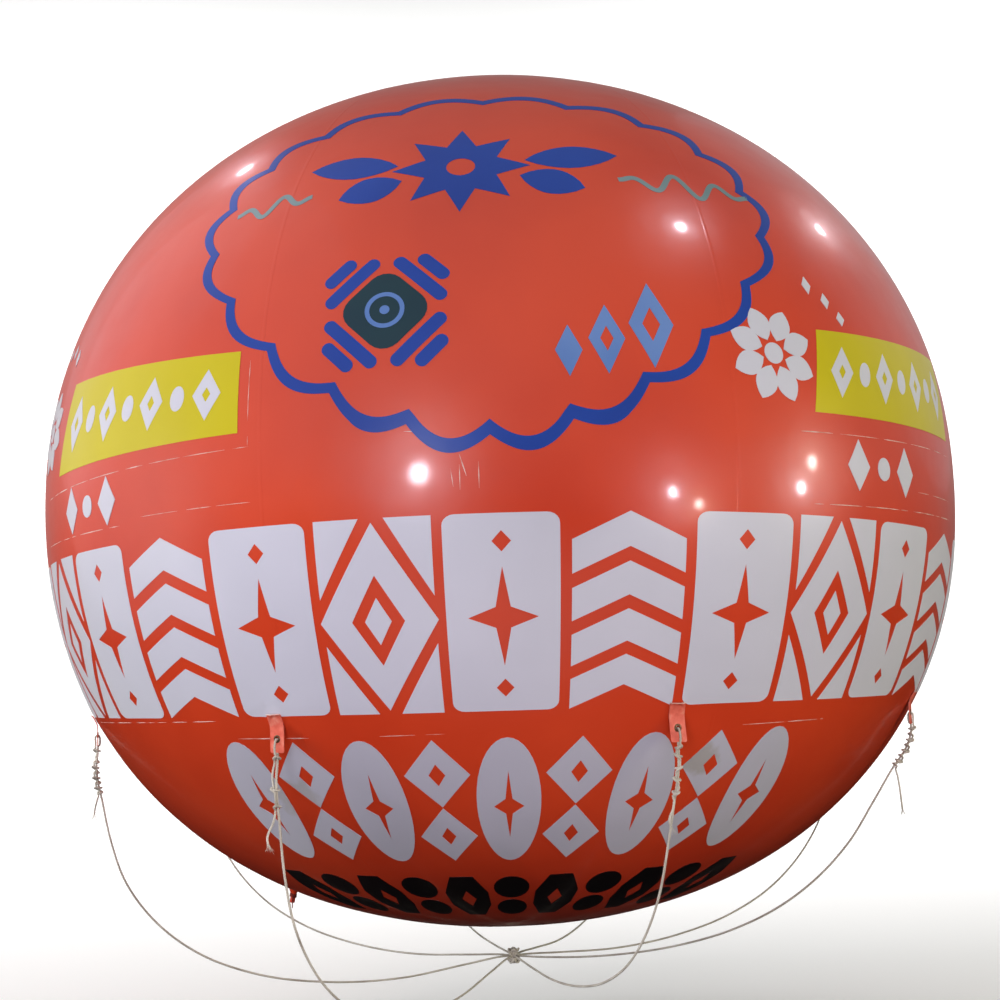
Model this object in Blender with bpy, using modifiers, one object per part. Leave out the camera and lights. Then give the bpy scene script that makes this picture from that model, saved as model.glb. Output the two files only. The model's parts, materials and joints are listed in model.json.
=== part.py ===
"""An inflated advertising sky balloon of welded PVC film, with its tether tabs, bridle and filling neck.

Metres, +Z up. The origin is at the middle of the envelope's equator, and the front faces -Y.
An azimuth is measured in degrees from the front towards +X.
"""

import math

import bmesh
import bpy
from mathutils import Matrix, Vector

# Envelope: a round body, a little flatter than a ball and a little fuller below than above
EQUATOR_RADIUS = 1.830
CROWN_HEIGHT = 0.929 * EQUATOR_RADIUS
BASE_DEPTH = 0.923 * EQUATOR_RADIUS
CROWN_POWER = 2.083
BASE_POWER = 2.177
WALL = 0.010
GAP = 0.0003

# Panels: eight gores above and below one level weld, and a round disc at each pole
GORES = 8
FACETS_PER_GORE = 6
FACET_TURN = 360.0 / GORES / FACETS_PER_GORE
FIRST_SEAM = -22.5
LEVEL_WELD = -0.025 * EQUATOR_RADIUS
DISC_RADIUS = 0.220
DISC_RINGS = 2
UPPER_ROWS = 14
LOWER_ROWS = 14
GORE_SHIFT = GAP / (2.0 * math.sin(math.pi / GORES))

# Tether tabs: folded straps, each with its foot welded flat to the skin
TAB_AZIMUTHS = (-69.8, -25.1, 18.0, 63.0, 109.0, 155.0, 200.0, 245.0)
TAB_TOP = -0.450 * EQUATOR_RADIUS
TAB_WIDTH = 0.050
TAB_LENGTH = 0.120
TAB_THICKNESS = 0.004
TAB_FOOT = 0.028
TAB_LIFT = math.radians(28.0)
TAB_CORNER = 0.006
TAB_CORNER_STEPS = 3
TAB_HEM = 0.095

# Eyelets: rolled brass rings, with a flange on each face of the strap
EYELET_DROP = 0.080
EYELET_HOLE_RADIUS = 0.0060
EYELET_BARREL_RADIUS = 0.0075
EYELET_FLANGE_RADIUS = 0.0120
EYELET_FLANGE = 0.0012
EYELET_SIDES = 12
CUTTER_DEPTH = 0.024

# Bridle: eight slack ropes from the tabs to one knot under the belly
ROPE_RADIUS = 0.004
ROPE_SIDES = 8
ROPE_POINTS = 28
ROPE_CROWDING = 0.85
ROPE_LEAD = 0.018
ROPE_ARRIVAL = 0.022
ROUTE_STEPS = 16
KNOT_HEIGHT = -1.010 * EQUATOR_RADIUS
KNOT_RADIUS = 0.026
KNOT_HALF_HEIGHT = 0.034
KNOT_SIDES = 16
# Shares of the knot's radius and half height, from its top to its foot
KNOT_SHAPE = ((0.0, 1.0), (0.5, 0.9), (1.0, 0.4), (1.0, -0.4), (0.5, -0.9), (0.0, -1.0))
# Distance from the axis and height of each rope, on its shortest and its longest hang
SHORT_HANG = (
    (1.612, -1.005), (1.545, -1.105), (1.468, -1.225), (1.385, -1.350), (1.265, -1.480),
    (1.115, -1.595), (0.930, -1.690), (0.700, -1.765), (0.450, -1.815), (0.200, -1.842),
)
LONG_HANG = (
    (1.632, -1.020), (1.615, -1.160), (1.592, -1.300), (1.545, -1.450), (1.445, -1.600),
    (1.285, -1.735), (1.060, -1.835), (0.780, -1.890), (0.480, -1.900), (0.200, -1.866),
)
ROPE_SLACKS = (0.85, 1.00, 0.40, 0.00, 0.55, 0.75, 0.30, 0.65)

# Filling neck: a gathered sleeve on a round patch, low on the left
NECK_AZIMUTH = -86.25
NECK_ROW = 10
PATCH_RADIUS = 0.054
PATCH_THICKNESS = 0.002
PATCH_SIDES = 24
# The sleeve's radius from its root to its tip, with its waist at the sixth and seventh
NECK_RADII = (0.0300, 0.0270, 0.0216, 0.0156, 0.0127, 0.0110, 0.0110, 0.0143, 0.0150)
NECK_WAIST = 5
NECK_SIDES = 12
NECK_COLLAR = 0.006
NECK_BEND = 0.022
NECK_DROOP = 0.030
NECK_TAIL = 0.028
NECK_TAIL_FALL = 1.5
TIE_WIRE = 0.003
TIE_WIRE_SIDES = 8
TIE_SIDES = 20

SKIN_RED = (0.60, 0.075, 0.030)
TAB_RED = (0.74, 0.130, 0.070)
BRASS = (0.55, 0.42, 0.20)
ROPE_CREAM = (0.70, 0.64, 0.52)


def collection(name):
    made = bpy.data.collections.new(name)
    bpy.context.scene.collection.children.link(made)
    return made


def material(name, colour, roughness, metallic=0.0):
    made = bpy.data.materials.new(name)
    made.use_nodes = True
    shader = made.node_tree.nodes["Principled BSDF"]
    shader.inputs["Base Color"].default_value = (*colour, 1.0)
    shader.inputs["Roughness"].default_value = roughness
    shader.inputs["Metallic"].default_value = metallic
    return made


def add(name, data, colour, roughness, metallic=0.0, matrix=None):
    """One object of the balloon, with a material of its own."""
    made = bpy.data.objects.new(name, data)
    balloon.objects.link(made)
    if not data.materials:
        data.materials.append(None)
    made.material_slots[0].link = "OBJECT"
    made.material_slots[0].material = material(name, colour, roughness, metallic)
    if matrix is not None:
        made.matrix_world = matrix
    return made


def smooth(mesh, angle=30.0):
    mesh.shade_smooth()
    mesh.set_sharp_from_angle(angle=math.radians(angle))


def around(azimuth, radius, height):
    """The point at this azimuth, distance from the axis and height."""
    turn = math.radians(azimuth)
    return Vector((radius * math.sin(turn), -radius * math.cos(turn), height))


# The envelope's outline


def outline(tilt):
    """(radius, height) of the skin at a tilt in radians, from -90 degrees at the base to 90 at the crown."""
    power, reach = (CROWN_POWER, CROWN_HEIGHT) if tilt >= 0.0 else (BASE_POWER, BASE_DEPTH)
    radius = EQUATOR_RADIUS * abs(math.cos(tilt)) ** (2.0 / power)
    height = math.copysign(reach * abs(math.sin(tilt)) ** (2.0 / power), tilt)
    return Vector((radius, height))


def inward(tilt):
    """The inner face's point behind the skin's point at this tilt."""
    power, reach = (CROWN_POWER, CROWN_HEIGHT) if tilt >= 0.0 else (BASE_POWER, BASE_DEPTH)
    radius, height = outline(tilt)
    across = (radius / EQUATOR_RADIUS) ** (power - 1.0) / EQUATOR_RADIUS
    along = (abs(height) / reach) ** (power - 1.0) / reach
    normal = Vector((across, math.copysign(along, height))).normalized()
    inner = Vector((radius, height)) - WALL * normal
    return Vector((max(0.0, inner.x), inner.y))


def tilt_at_height(height):
    power, reach = (CROWN_POWER, CROWN_HEIGHT) if height >= 0.0 else (BASE_POWER, BASE_DEPTH)
    return math.copysign(math.asin((abs(height) / reach) ** (power / 2.0)), height)


def tilt_at_radius(radius, power):
    return math.acos((radius / EQUATOR_RADIUS) ** (power / 2.0))


def moved_along(tilt, distance):
    """The tilt that lies this far up the skin from another tilt."""
    step = 1e-4
    speed = (outline(tilt + step) - outline(tilt - step)).length / (2.0 * step)
    return tilt + distance / speed


def between(first, last, count):
    return [first + (last - first) * index / count for index in range(count + 1)]


CROWN_EDGE = tilt_at_radius(DISC_RADIUS, CROWN_POWER)
BASE_EDGE = -tilt_at_radius(DISC_RADIUS, BASE_POWER)
WELD_TILT = tilt_at_height(LEVEL_WELD)
UPPER_TILTS = between(moved_along(CROWN_EDGE, -GAP), moved_along(WELD_TILT, GAP), UPPER_ROWS)
LOWER_TILTS = between(WELD_TILT, moved_along(BASE_EDGE, GAP), LOWER_ROWS)


def gore_mesh(name, tilts):
    """A curved panel: the wall's section, spun through one gore about the balloon's axis."""
    section = [outline(tilt) for tilt in tilts] + [inward(tilt) for tilt in reversed(tilts)]
    form = bmesh.new()
    start = Matrix.Rotation(-math.pi / GORES, 3, "Z")
    corners = [form.verts.new(start @ around(0.0, radius, height)) for radius, height in section]
    face = form.faces.new(corners)
    bmesh.ops.spin(
        form,
        geom=[face, *face.edges, *face.verts],
        axis=(0.0, 0.0, 1.0),
        angle=2.0 * math.pi / GORES,
        steps=FACETS_PER_GORE,
    )
    bmesh.ops.recalc_face_normals(form, faces=form.faces)
    mesh = bpy.data.meshes.new(name)
    form.to_mesh(mesh)
    form.free()
    smooth(mesh)
    return mesh


def gore_middle(index):
    return FIRST_SEAM + (index + 0.5) * 360.0 / GORES


def gore_offset(azimuth):
    """How far the gore at this azimuth is set out from the axis, which opens its welds by the gap."""
    middle = gore_middle(math.floor((azimuth - FIRST_SEAM) / (360.0 / GORES)))
    return around(middle, GORE_SHIFT, 0.0)


def turned(name, profile, sides, colour, roughness, metallic=0.0, matrix=None, closed=False):
    """A profile of (radius, height), run down its outer side, turned about its object's Z axis."""
    form = bmesh.new()
    corners = [form.verts.new((radius, 0.0, height)) for radius, height in profile]
    pairs = list(zip(corners, corners[1:]))
    if closed:
        pairs.append((corners[-1], corners[0]))
    for first, last in pairs:
        form.edges.new((first, last))
    mesh = bpy.data.meshes.new(name)
    form.to_mesh(mesh)
    form.free()
    made = add(name, mesh, colour, roughness, metallic, matrix)
    screw = made.modifiers.new("turn", "SCREW")
    screw.steps = sides
    screw.render_steps = sides
    screw.use_merge_vertices = True
    screw.merge_threshold = 0.00005
    screw.use_smooth_shade = True
    return made


def disc(name, edge, pole):
    """A pole disc: the wall's section from the axis out to its edge, and back inside."""
    tilts = between(pole, edge, DISC_RINGS)
    outer = [outline(tilt) for tilt in tilts]
    inner = [inward(tilt) for tilt in reversed(tilts)]
    outer[0].x = 0.0
    inner[-1].x = 0.0
    profile = outer + inner
    if pole < 0.0:
        profile.reverse()
    return turned(name, profile, GORES * FACETS_PER_GORE, SKIN_RED, 0.25)


def seat(azimuth, height=None, row=None):
    """A frame on the lower skin's flat facet here: X level, Y out of the skin, Z up the slope."""
    if row is None:
        tilts = [tilt for tilt in LOWER_TILTS if outline(tilt).y > height]
        row = len(tilts) - 1
    upper = outline(LOWER_TILTS[row])
    lower = outline(LOWER_TILTS[row + 1])
    if height is None:
        height = (upper.y + lower.y) / 2.0
    share = (upper.y - height) / (upper.y - lower.y)
    radius = upper.x + (lower.x - upper.x) * share
    first = math.floor(azimuth / FACET_TURN) * FACET_TURN
    middle = first + FACET_TURN / 2.0
    half = math.radians(FACET_TURN / 2.0)
    level = around(middle + 90.0, 1.0, 0.0)
    deep = radius * math.cos(half)
    aside = deep * math.tan(math.radians(azimuth - middle))
    point = around(middle, deep, height) + aside * level + gore_offset(azimuth)
    top = around(middle, upper.x * math.cos(half), upper.y)
    foot = around(middle, lower.x * math.cos(half), lower.y)
    rise = (top - foot).normalized()
    out = level.cross(rise)
    turn = Matrix((-level, out, rise)).transposed().to_4x4()
    return Matrix.Translation(point + GAP * out) @ turn


def strap_mesh():
    """The tab's section, from its welded foot to its end, drawn out to the strap's width."""
    hang = TAB_LENGTH - TAB_FOOT
    fall = Vector((0.0, math.sin(TAB_LIFT), -math.cos(TAB_LIFT)))
    face = Vector((0.0, math.cos(TAB_LIFT), math.sin(TAB_LIFT)))
    bend = Vector((0.0, 0.0, -TAB_FOOT))
    bend_front = bend + Vector((0.0, TAB_THICKNESS, TAB_THICKNESS * math.tan(TAB_LIFT / 2.0)))
    end = bend + hang * fall
    section = (
        Vector((0.0, 0.0, 0.0)),
        Vector((0.0, TAB_THICKNESS, 0.0)),
        bend_front,
        end + TAB_THICKNESS * face,
        end,
        bend,
    )
    form = bmesh.new()
    side = Vector((TAB_WIDTH / 2.0, 0.0, 0.0))
    flat = form.faces.new([form.verts.new(point - side) for point in section])
    drawn = bmesh.ops.extrude_face_region(form, geom=[flat])
    moved = [item for item in drawn["geom"] if isinstance(item, bmesh.types.BMVert)]
    bmesh.ops.translate(form, vec=2.0 * side, verts=moved)
    bmesh.ops.recalc_face_normals(form, faces=form.faces)
    last_edges = [edge for edge in form.edges if all((v.co - end).dot(fall) > -1e-6 for v in edge.verts)]
    corners = [edge for edge in last_edges if abs((edge.verts[0].co - edge.verts[1].co).x) < 1e-6]
    bmesh.ops.bevel(
        form,
        geom=corners,
        offset=TAB_CORNER,
        segments=TAB_CORNER_STEPS,
        profile=0.5,
        affect="EDGES",
    )
    # The hem is a face of its own below the eyelet
    bmesh.ops.bisect_plane(
        form,
        geom=[*form.verts, *form.edges, *form.faces],
        plane_co=bend + (TAB_HEM - TAB_FOOT) * fall,
        plane_no=fall,
    )
    mesh = bpy.data.meshes.new("tether_tab")
    form.to_mesh(mesh)
    form.free()
    smooth(mesh)
    return mesh


def strap_frame(along):
    """A frame in the hanging part of the strap: its Z axis out of the middle of its thickness."""
    hang = along - TAB_FOOT
    fall = Vector((0.0, math.sin(TAB_LIFT), -math.cos(TAB_LIFT)))
    face = Vector((0.0, math.cos(TAB_LIFT), math.sin(TAB_LIFT)))
    point = Vector((0.0, 0.0, -TAB_FOOT)) + hang * fall + TAB_THICKNESS / 2.0 * face
    turn = Matrix((face.cross(fall), -fall, face)).transposed()
    return Matrix.Translation(point) @ turn.to_4x4()


def hole_cutter(name, matrix):
    form = bmesh.new()
    bmesh.ops.create_cone(
        form,
        cap_ends=True,
        segments=EYELET_SIDES,
        radius1=EYELET_BARREL_RADIUS + GAP,
        radius2=EYELET_BARREL_RADIUS + GAP,
        depth=CUTTER_DEPTH,
    )
    mesh = bpy.data.meshes.new(name)
    form.to_mesh(mesh)
    form.free()
    made = bpy.data.objects.new(name, mesh)
    cutters.objects.link(made)
    made.matrix_world = matrix
    made.hide_render = True
    made.display_type = "WIRE"
    return made


def eyelet(name, matrix):
    face = TAB_THICKNESS / 2.0 + GAP
    top = face + EYELET_FLANGE
    profile = (
        (EYELET_HOLE_RADIUS, top),
        (EYELET_FLANGE_RADIUS, top),
        (EYELET_FLANGE_RADIUS, face),
        (EYELET_BARREL_RADIUS, face),
        (EYELET_BARREL_RADIUS, -face),
        (EYELET_FLANGE_RADIUS, -face),
        (EYELET_FLANGE_RADIUS, -top),
        (EYELET_HOLE_RADIUS, -top),
    )
    return turned(name, profile, EYELET_SIDES, BRASS, 0.35, 1.0, matrix, closed=True)


def headings(points):
    """The direction of a smooth line at each of its points, weighted by how near its neighbours lie."""
    steps = [last - first for first, last in zip(points, points[1:])]
    found = [steps[0].normalized()]
    for before, after in zip(steps, steps[1:]):
        found.append(before * (after.length / before.length) + after * (before.length / after.length))
        found[-1] /= before.length + after.length
    found.append(steps[-1].normalized())
    return found


def smooth_route(points, count, crowding):
    """This many points on one smooth curve through the route's own points, closer together near its ends."""
    fine = []
    directions = headings(points)
    for first, last, leave, arrive in zip(points, points[1:], directions, directions[1:]):
        span = (last - first).length
        for part in range(ROUTE_STEPS):
            t = part / ROUTE_STEPS
            fine.append(
                first * (1.0 - 3.0 * t**2 + 2.0 * t**3)
                + last * (3.0 * t**2 - 2.0 * t**3)
                + leave * (span * (t - 2.0 * t**2 + t**3))
                + arrive * (span * (t**3 - t**2))
            )
    fine.append(points[-1].copy())
    reach = [0.0]
    for first, last in zip(fine, fine[1:]):
        reach.append(reach[-1] + (last - first).length)
    found = []
    index = 0
    for step in range(count):
        even = step / (count - 1)
        target = reach[-1] * (even - crowding * math.sin(2.0 * math.pi * even) / (2.0 * math.pi))
        while index < len(fine) - 2 and reach[index + 1] < target:
            index += 1
        share = (target - reach[index]) / (reach[index + 1] - reach[index])
        found.append(fine[index].lerp(fine[index + 1], share))
    return found


def tube(name, points, radii, colour, roughness, sides):
    """A round tube on a straight-sided spline, with filled ends."""
    curve = bpy.data.curves.new(name, "CURVE")
    curve.dimensions = "3D"
    curve.bevel_depth = 1.0
    curve.bevel_resolution = sides // 4
    curve.use_fill_caps = True
    spline = curve.splines.new("POLY")
    spline.points.add(len(points) - 1)
    for slot, point, radius in zip(spline.points, points, radii):
        slot.co = (*point, 1.0)
        slot.radius = radius
    return add(name, curve, colour, roughness)


def rope_route(index, tab):
    """A rope's route: straight out of its tab, down in a slack hang, and level into the knot."""
    strap = strap_frame(TAB_LENGTH)
    fall = (tab @ strap).to_3x3() @ Vector((0.0, -1.0, 0.0))
    start = (tab @ strap).translation + GAP * fall
    azimuth = math.degrees(math.atan2(start.x, -start.y))
    slack = ROPE_SLACKS[index]
    route = [start, start + ROPE_LEAD * fall]
    for short, long in zip(SHORT_HANG, LONG_HANG):
        radius = short[0] + (long[0] - short[0]) * slack
        height = short[1] + (long[1] - short[1]) * slack
        route.append(around(azimuth, radius, height))
    route.append(around(azimuth, KNOT_RADIUS + ROPE_ARRIVAL, KNOT_HEIGHT))
    route.append(around(azimuth, KNOT_RADIUS + GAP, KNOT_HEIGHT))
    return route


for existing in list(bpy.data.objects):
    bpy.data.objects.remove(existing)
balloon = collection("advertising_sky_balloon")
cutters = collection("cutters")

# Gores
upper_gore = gore_mesh("upper_gore", UPPER_TILTS)
lower_gore = gore_mesh("lower_gore", LOWER_TILTS)
for number in range(GORES):
    middle = gore_middle(number)
    turn = Matrix.Rotation(math.radians(middle), 4, "Z")
    place = Matrix.Translation(around(middle, GORE_SHIFT, 0.0)) @ turn
    add(f"upper_gore_{number + 1}", upper_gore, SKIN_RED, 0.25, matrix=place)
    add(f"lower_gore_{number + 1}", lower_gore, SKIN_RED, 0.25, matrix=place)

# Pole discs
disc("crown_disc", CROWN_EDGE, math.pi / 2.0)
disc("base_disc", BASE_EDGE, -math.pi / 2.0)

# Tether tabs, each with its eyelet and its rope
strap = strap_mesh()
for index, azimuth in enumerate(TAB_AZIMUTHS):
    tab = seat(azimuth, height=TAB_TOP)
    made = add(f"tether_tab_{index + 1}", strap, TAB_RED, 0.45, matrix=tab)
    hole = made.modifiers.new("eyelet hole", "BOOLEAN")
    hole.operation = "DIFFERENCE"
    hole.object = hole_cutter(f"eyelet_hole_{index + 1}", tab @ strap_frame(EYELET_DROP))
    eyelet(f"eyelet_{index + 1}", tab @ strap_frame(EYELET_DROP))
    route = smooth_route(rope_route(index, tab), ROPE_POINTS, ROPE_CROWDING)
    tube(f"bridle_rope_{index + 1}", route, [ROPE_RADIUS] * ROPE_POINTS, ROPE_CREAM, 0.8, ROPE_SIDES)

# Bridle knot
knot_profile = [(share * KNOT_RADIUS, lift * KNOT_HALF_HEIGHT) for share, lift in KNOT_SHAPE]
knot_place = Matrix.Translation((0.0, 0.0, KNOT_HEIGHT))
turned("bridle_knot", knot_profile, KNOT_SIDES, ROPE_CREAM, 0.8, matrix=knot_place)

# Filling neck on its patch
neck_seat = seat(NECK_AZIMUTH, row=NECK_ROW)
out_of_skin = Matrix.Rotation(math.radians(-90.0), 4, "X")
patch_profile = (
    (0.0, PATCH_THICKNESS),
    (PATCH_RADIUS, PATCH_THICKNESS),
    (PATCH_RADIUS, 0.0),
    (0.0, 0.0),
)
turned("neck_patch", patch_profile, PATCH_SIDES, TAB_RED, 0.35, matrix=neck_seat @ out_of_skin)
outwards = (neck_seat.to_3x3() @ Vector((0.0, 1.0, 0.0))).normalized()
down = Vector((0.0, 0.0, -1.0))
root = neck_seat.translation + (PATCH_THICKNESS + GAP) * outwards
collar = root + NECK_COLLAR * outwards
elbow = root + NECK_BEND * outwards
waist = elbow + NECK_DROOP * (outwards + down).normalized()
tail = waist + NECK_TAIL * (outwards + NECK_TAIL_FALL * down).normalized()
neck_route = [root, *smooth_route([collar, elbow, waist, tail], len(NECK_RADII) - 1, 0.0)]
tube("filling_neck", neck_route, NECK_RADII, SKIN_RED, 0.30, NECK_SIDES)

# Neck tie: a wrapped cord round the sleeve's waist
tie_point = (neck_route[NECK_WAIST] + neck_route[NECK_WAIST + 1]) / 2.0
tie_axis = (neck_route[NECK_WAIST + 1] - neck_route[NECK_WAIST]).normalized()
tie_place = Matrix.Translation(tie_point) @ tie_axis.to_track_quat("Z", "Y").to_matrix().to_4x4()
tie_middle = NECK_RADII[NECK_WAIST] + 2.0 * GAP + TIE_WIRE
tie_profile = []
for step in range(TIE_WIRE_SIDES):
    turn = math.radians(90.0 - 360.0 * step / TIE_WIRE_SIDES)
    tie_profile.append((tie_middle + TIE_WIRE * math.cos(turn), TIE_WIRE * math.sin(turn)))
turned("neck_tie", tie_profile, TIE_SIDES, ROPE_CREAM, 0.8, matrix=tie_place, closed=True)
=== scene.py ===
import json
import math
import random

import bmesh
import bpy
from mathutils import Matrix, Vector


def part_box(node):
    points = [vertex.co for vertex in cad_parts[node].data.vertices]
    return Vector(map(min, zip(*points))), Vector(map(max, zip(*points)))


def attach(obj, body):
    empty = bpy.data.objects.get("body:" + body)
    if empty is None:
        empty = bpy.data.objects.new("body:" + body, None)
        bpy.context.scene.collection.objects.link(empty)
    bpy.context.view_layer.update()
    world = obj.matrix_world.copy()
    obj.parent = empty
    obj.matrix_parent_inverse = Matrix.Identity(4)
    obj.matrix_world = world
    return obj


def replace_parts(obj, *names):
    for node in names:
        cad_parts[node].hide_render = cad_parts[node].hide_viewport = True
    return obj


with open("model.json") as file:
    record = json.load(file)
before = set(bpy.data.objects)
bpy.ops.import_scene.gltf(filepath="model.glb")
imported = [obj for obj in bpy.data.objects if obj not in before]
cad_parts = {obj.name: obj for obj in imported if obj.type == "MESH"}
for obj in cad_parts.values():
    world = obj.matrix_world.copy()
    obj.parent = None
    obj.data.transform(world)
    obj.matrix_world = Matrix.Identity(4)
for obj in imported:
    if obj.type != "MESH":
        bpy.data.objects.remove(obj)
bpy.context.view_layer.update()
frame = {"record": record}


# Camera. It stands where a visitor does, on the floor in front of the balloon, a little below its
# widest girth, and looks slightly up with a slight lean.
CAMERA_PLACE = Vector((0.0, -5.241, -0.7595))
CAMERA_RISE = math.radians(8.51)
CAMERA_LEAN = math.radians(1.73)
CAMERA_LENS = 44.45

camera = bpy.data.objects.new("visitor_camera", bpy.data.cameras.new("visitor_camera"))
camera.data.lens = CAMERA_LENS
camera.matrix_world = (
    Matrix.Translation(CAMERA_PLACE)
    @ Matrix.Rotation(math.pi / 2.0 + CAMERA_RISE, 4, "X")
    @ Matrix.Rotation(-CAMERA_LEAN, 4, "Z")
)
bpy.context.scene.collection.objects.link(camera)
bpy.context.scene.camera = camera


# Bridle ropes. Each is 8 mm cotton rope of three strands laid together, tied to the eyelet of its
# tab. It hangs slack beside the envelope and runs in under the belly to one knot.
ROPE_RADIUS = 0.0043
ROPE_LAY = 0.026
RING_SPACING = ROPE_LAY / 8
ROPE_SIDES = 12
ROPE_CREASE = 75.0
GROOVE = 0.0015
SEAT_GAP = 0.0003
EYELET_TO_END = 0.040
ROPE_LEAD = 0.018
ROPE_ARRIVAL = 0.022
INTO_KNOT = 0.008
KNOT_HEIGHT = -1.010 * 1.830
KNOT_RADIUS = 0.026
SHORT_HANG = (
    (1.612, -1.005), (1.545, -1.105), (1.468, -1.225), (1.385, -1.350), (1.265, -1.480),
    (1.115, -1.595), (0.930, -1.690), (0.700, -1.765), (0.450, -1.815), (0.200, -1.842),
)
LONG_HANG = (
    (1.632, -1.020), (1.615, -1.160), (1.592, -1.300), (1.545, -1.450), (1.445, -1.600),
    (1.285, -1.735), (1.060, -1.835), (0.780, -1.890), (0.480, -1.900), (0.200, -1.866),
)
ROPE_SLACKS = (0.85, 1.00, 0.40, 0.00, 0.55, 0.75, 0.30, 0.65)
DOWN = Vector((0.0, 0.0, -1.0))
UP = Vector((0.0, 0.0, 1.0))
mounts = {mount["name"]: mount for mount in frame["record"]["mounts"]}


def around(azimuth, radius, height):
    """The point at an azimuth in degrees from the front, a distance from the axis and a height."""
    turn = math.radians(azimuth)
    return Vector((radius * math.sin(turn), -radius * math.cos(turn), height))


def strap_axes(number):
    """The middle of a tab's eyelet, with the level, falling and outward directions of its strap."""
    low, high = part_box(f"eyelet_{number}")
    out = Vector(mounts[f"tether_tab_{number}_face"]["axis"]).normalized()
    fall = (DOWN - DOWN.dot(out) * out).normalized()
    return (low + high) / 2.0, out.cross(fall), fall, out


def headings(points):
    """The direction of a smooth line at each of its points, weighted by how near its neighbours lie."""
    steps = [last - first for first, last in zip(points, points[1:])]
    found = [steps[0].normalized()]
    for before, after in zip(steps, steps[1:]):
        found.append(before * (after.length / before.length) + after * (before.length / after.length))
        found[-1] /= before.length + after.length
    return found + [steps[-1].normalized()]


def smooth_line(points, spacing):
    """Evenly spaced points on one smooth curve through the given points."""
    fine = []
    leads = headings(points)
    for first, last, leave, arrive in zip(points, points[1:], leads, leads[1:]):
        span = (last - first).length
        steps = max(4, int(3.0 * span / spacing))
        for t in (part / steps for part in range(steps)):
            fine.append(
                first * (1.0 - 3.0 * t**2 + 2.0 * t**3)
                + last * (3.0 * t**2 - 2.0 * t**3)
                + leave * (span * (t - 2.0 * t**2 + t**3))
                + arrive * (span * (t**3 - t**2))
            )
    fine.append(points[-1].copy())
    reach = [0.0]
    for first, last in zip(fine, fine[1:]):
        reach.append(reach[-1] + (last - first).length)
    count = max(2, round(reach[-1] / spacing))
    found = []
    index = 0
    for step in range(count + 1):
        target = reach[-1] * step / count
        while index < len(fine) - 2 and reach[index + 1] < target:
            index += 1
        share = (target - reach[index]) / (reach[index + 1] - reach[index])
        found.append(fine[index].lerp(fine[index + 1], share))
    return found


def carried_frames(points, start):
    """Two directions across a line at each of its points, carried along it without twist."""
    across = start
    found = []
    for index in range(len(points)):
        along = (points[min(len(points) - 1, index + 1)] - points[max(0, index - 1)]).normalized()
        across = (across - across.dot(along) * along).normalized()
        found.append((across.copy(), along.cross(across)))
    return found


def whole_turn(count):
    """So many angles, evenly spaced round one turn."""
    return [2.0 * math.pi * step / count for step in range(count)]


def pairs_round(loop):
    """Each item of a closed loop with the one after it."""
    return zip(loop, loop[1:] + loop[:1])


def add_rings(form, places, capped=True):
    """Rings of corners at these places, with faces from ring to ring and over capped ends."""
    rings = [[form.verts.new(place) for place in ring] for ring in places]
    for lower, upper in zip(rings, rings[1:]):
        for (first, last), (above, beyond) in zip(pairs_round(lower), pairs_round(upper)):
            form.faces.new((first, last, beyond, above))
    if capped:
        form.faces.new(list(reversed(rings[0])))
        form.faces.new(rings[-1])
    return rings


def add_tube(form, points, outline, start):
    """A closed tube along points: outline gives its radius for each ring's number and turn."""
    rings = []
    for index, (point, (across, beside)) in enumerate(zip(points, carried_frames(points, start))):
        rings.append([
            point + outline(index, turn) * (math.cos(turn) * across + math.sin(turn) * beside)
            for turn in whole_turn(ROPE_SIDES)
        ])
    add_rings(form, rings)


def strand_outline(radius, spacing=RING_SPACING):
    """The outline of three strands laid together, turning once in each lay."""
    strand = radius / (1.0 + 2.0 / math.sqrt(3.0))
    middle = radius - strand

    def outline(index, turn):
        phase = 3.0 * (turn - 2.0 * math.pi * index * spacing / ROPE_LAY)
        side = abs((phase + math.pi) % (2.0 * math.pi) - math.pi) / 3.0
        hollow = max(0.0, strand**2 - (middle * math.sin(side)) ** 2)
        return max(middle * math.cos(side) + math.sqrt(hollow), radius - GROOVE)

    return outline


def smooth_mesh(name, form):
    """The mesh of a finished form, shaded smooth."""
    mesh = bpy.data.meshes.new(name)
    form.to_mesh(mesh)
    form.free()
    mesh.shade_smooth()
    return mesh


def dressed(mesh, material, slot):
    """A piece of the balloon from its mesh, riding on the balloon's one body."""
    piece = bpy.data.objects.new(mesh.name, mesh)
    bpy.context.scene.collection.objects.link(piece)
    mesh.materials.append(material)
    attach(piece, "root")
    return piece


def new_piece(name, form, material, slot, crease=60.0):
    """A piece from its form, with an edge wherever its faces meet at more than the crease."""
    mesh = smooth_mesh(name, form)
    mesh.set_sharp_from_angle(angle=math.radians(crease))
    return dressed(mesh, material, slot)


def new_finish(name, roughness, metallic=0.0):
    """A new material, with its node tree and its shader's sockets."""
    made = bpy.data.materials.new(name)
    made.use_nodes = True
    shader = made.node_tree.nodes["Principled BSDF"].inputs
    shader["Roughness"].default_value = roughness
    shader["Metallic"].default_value = metallic
    return made, made.node_tree, shader


def add_node(tree, kind, inputs, **settings):
    """A shader node whose inputs are fed by another node's output or given a value."""
    node = tree.nodes.new("ShaderNode" + kind)
    for name, value in settings.items():
        setattr(node, name, value)
    for name, value in inputs.items():
        if isinstance(value, bpy.types.NodeSocket):
            tree.links.new(value, node.inputs[name])
        else:
            node.inputs[name].default_value = value
    return node


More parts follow.
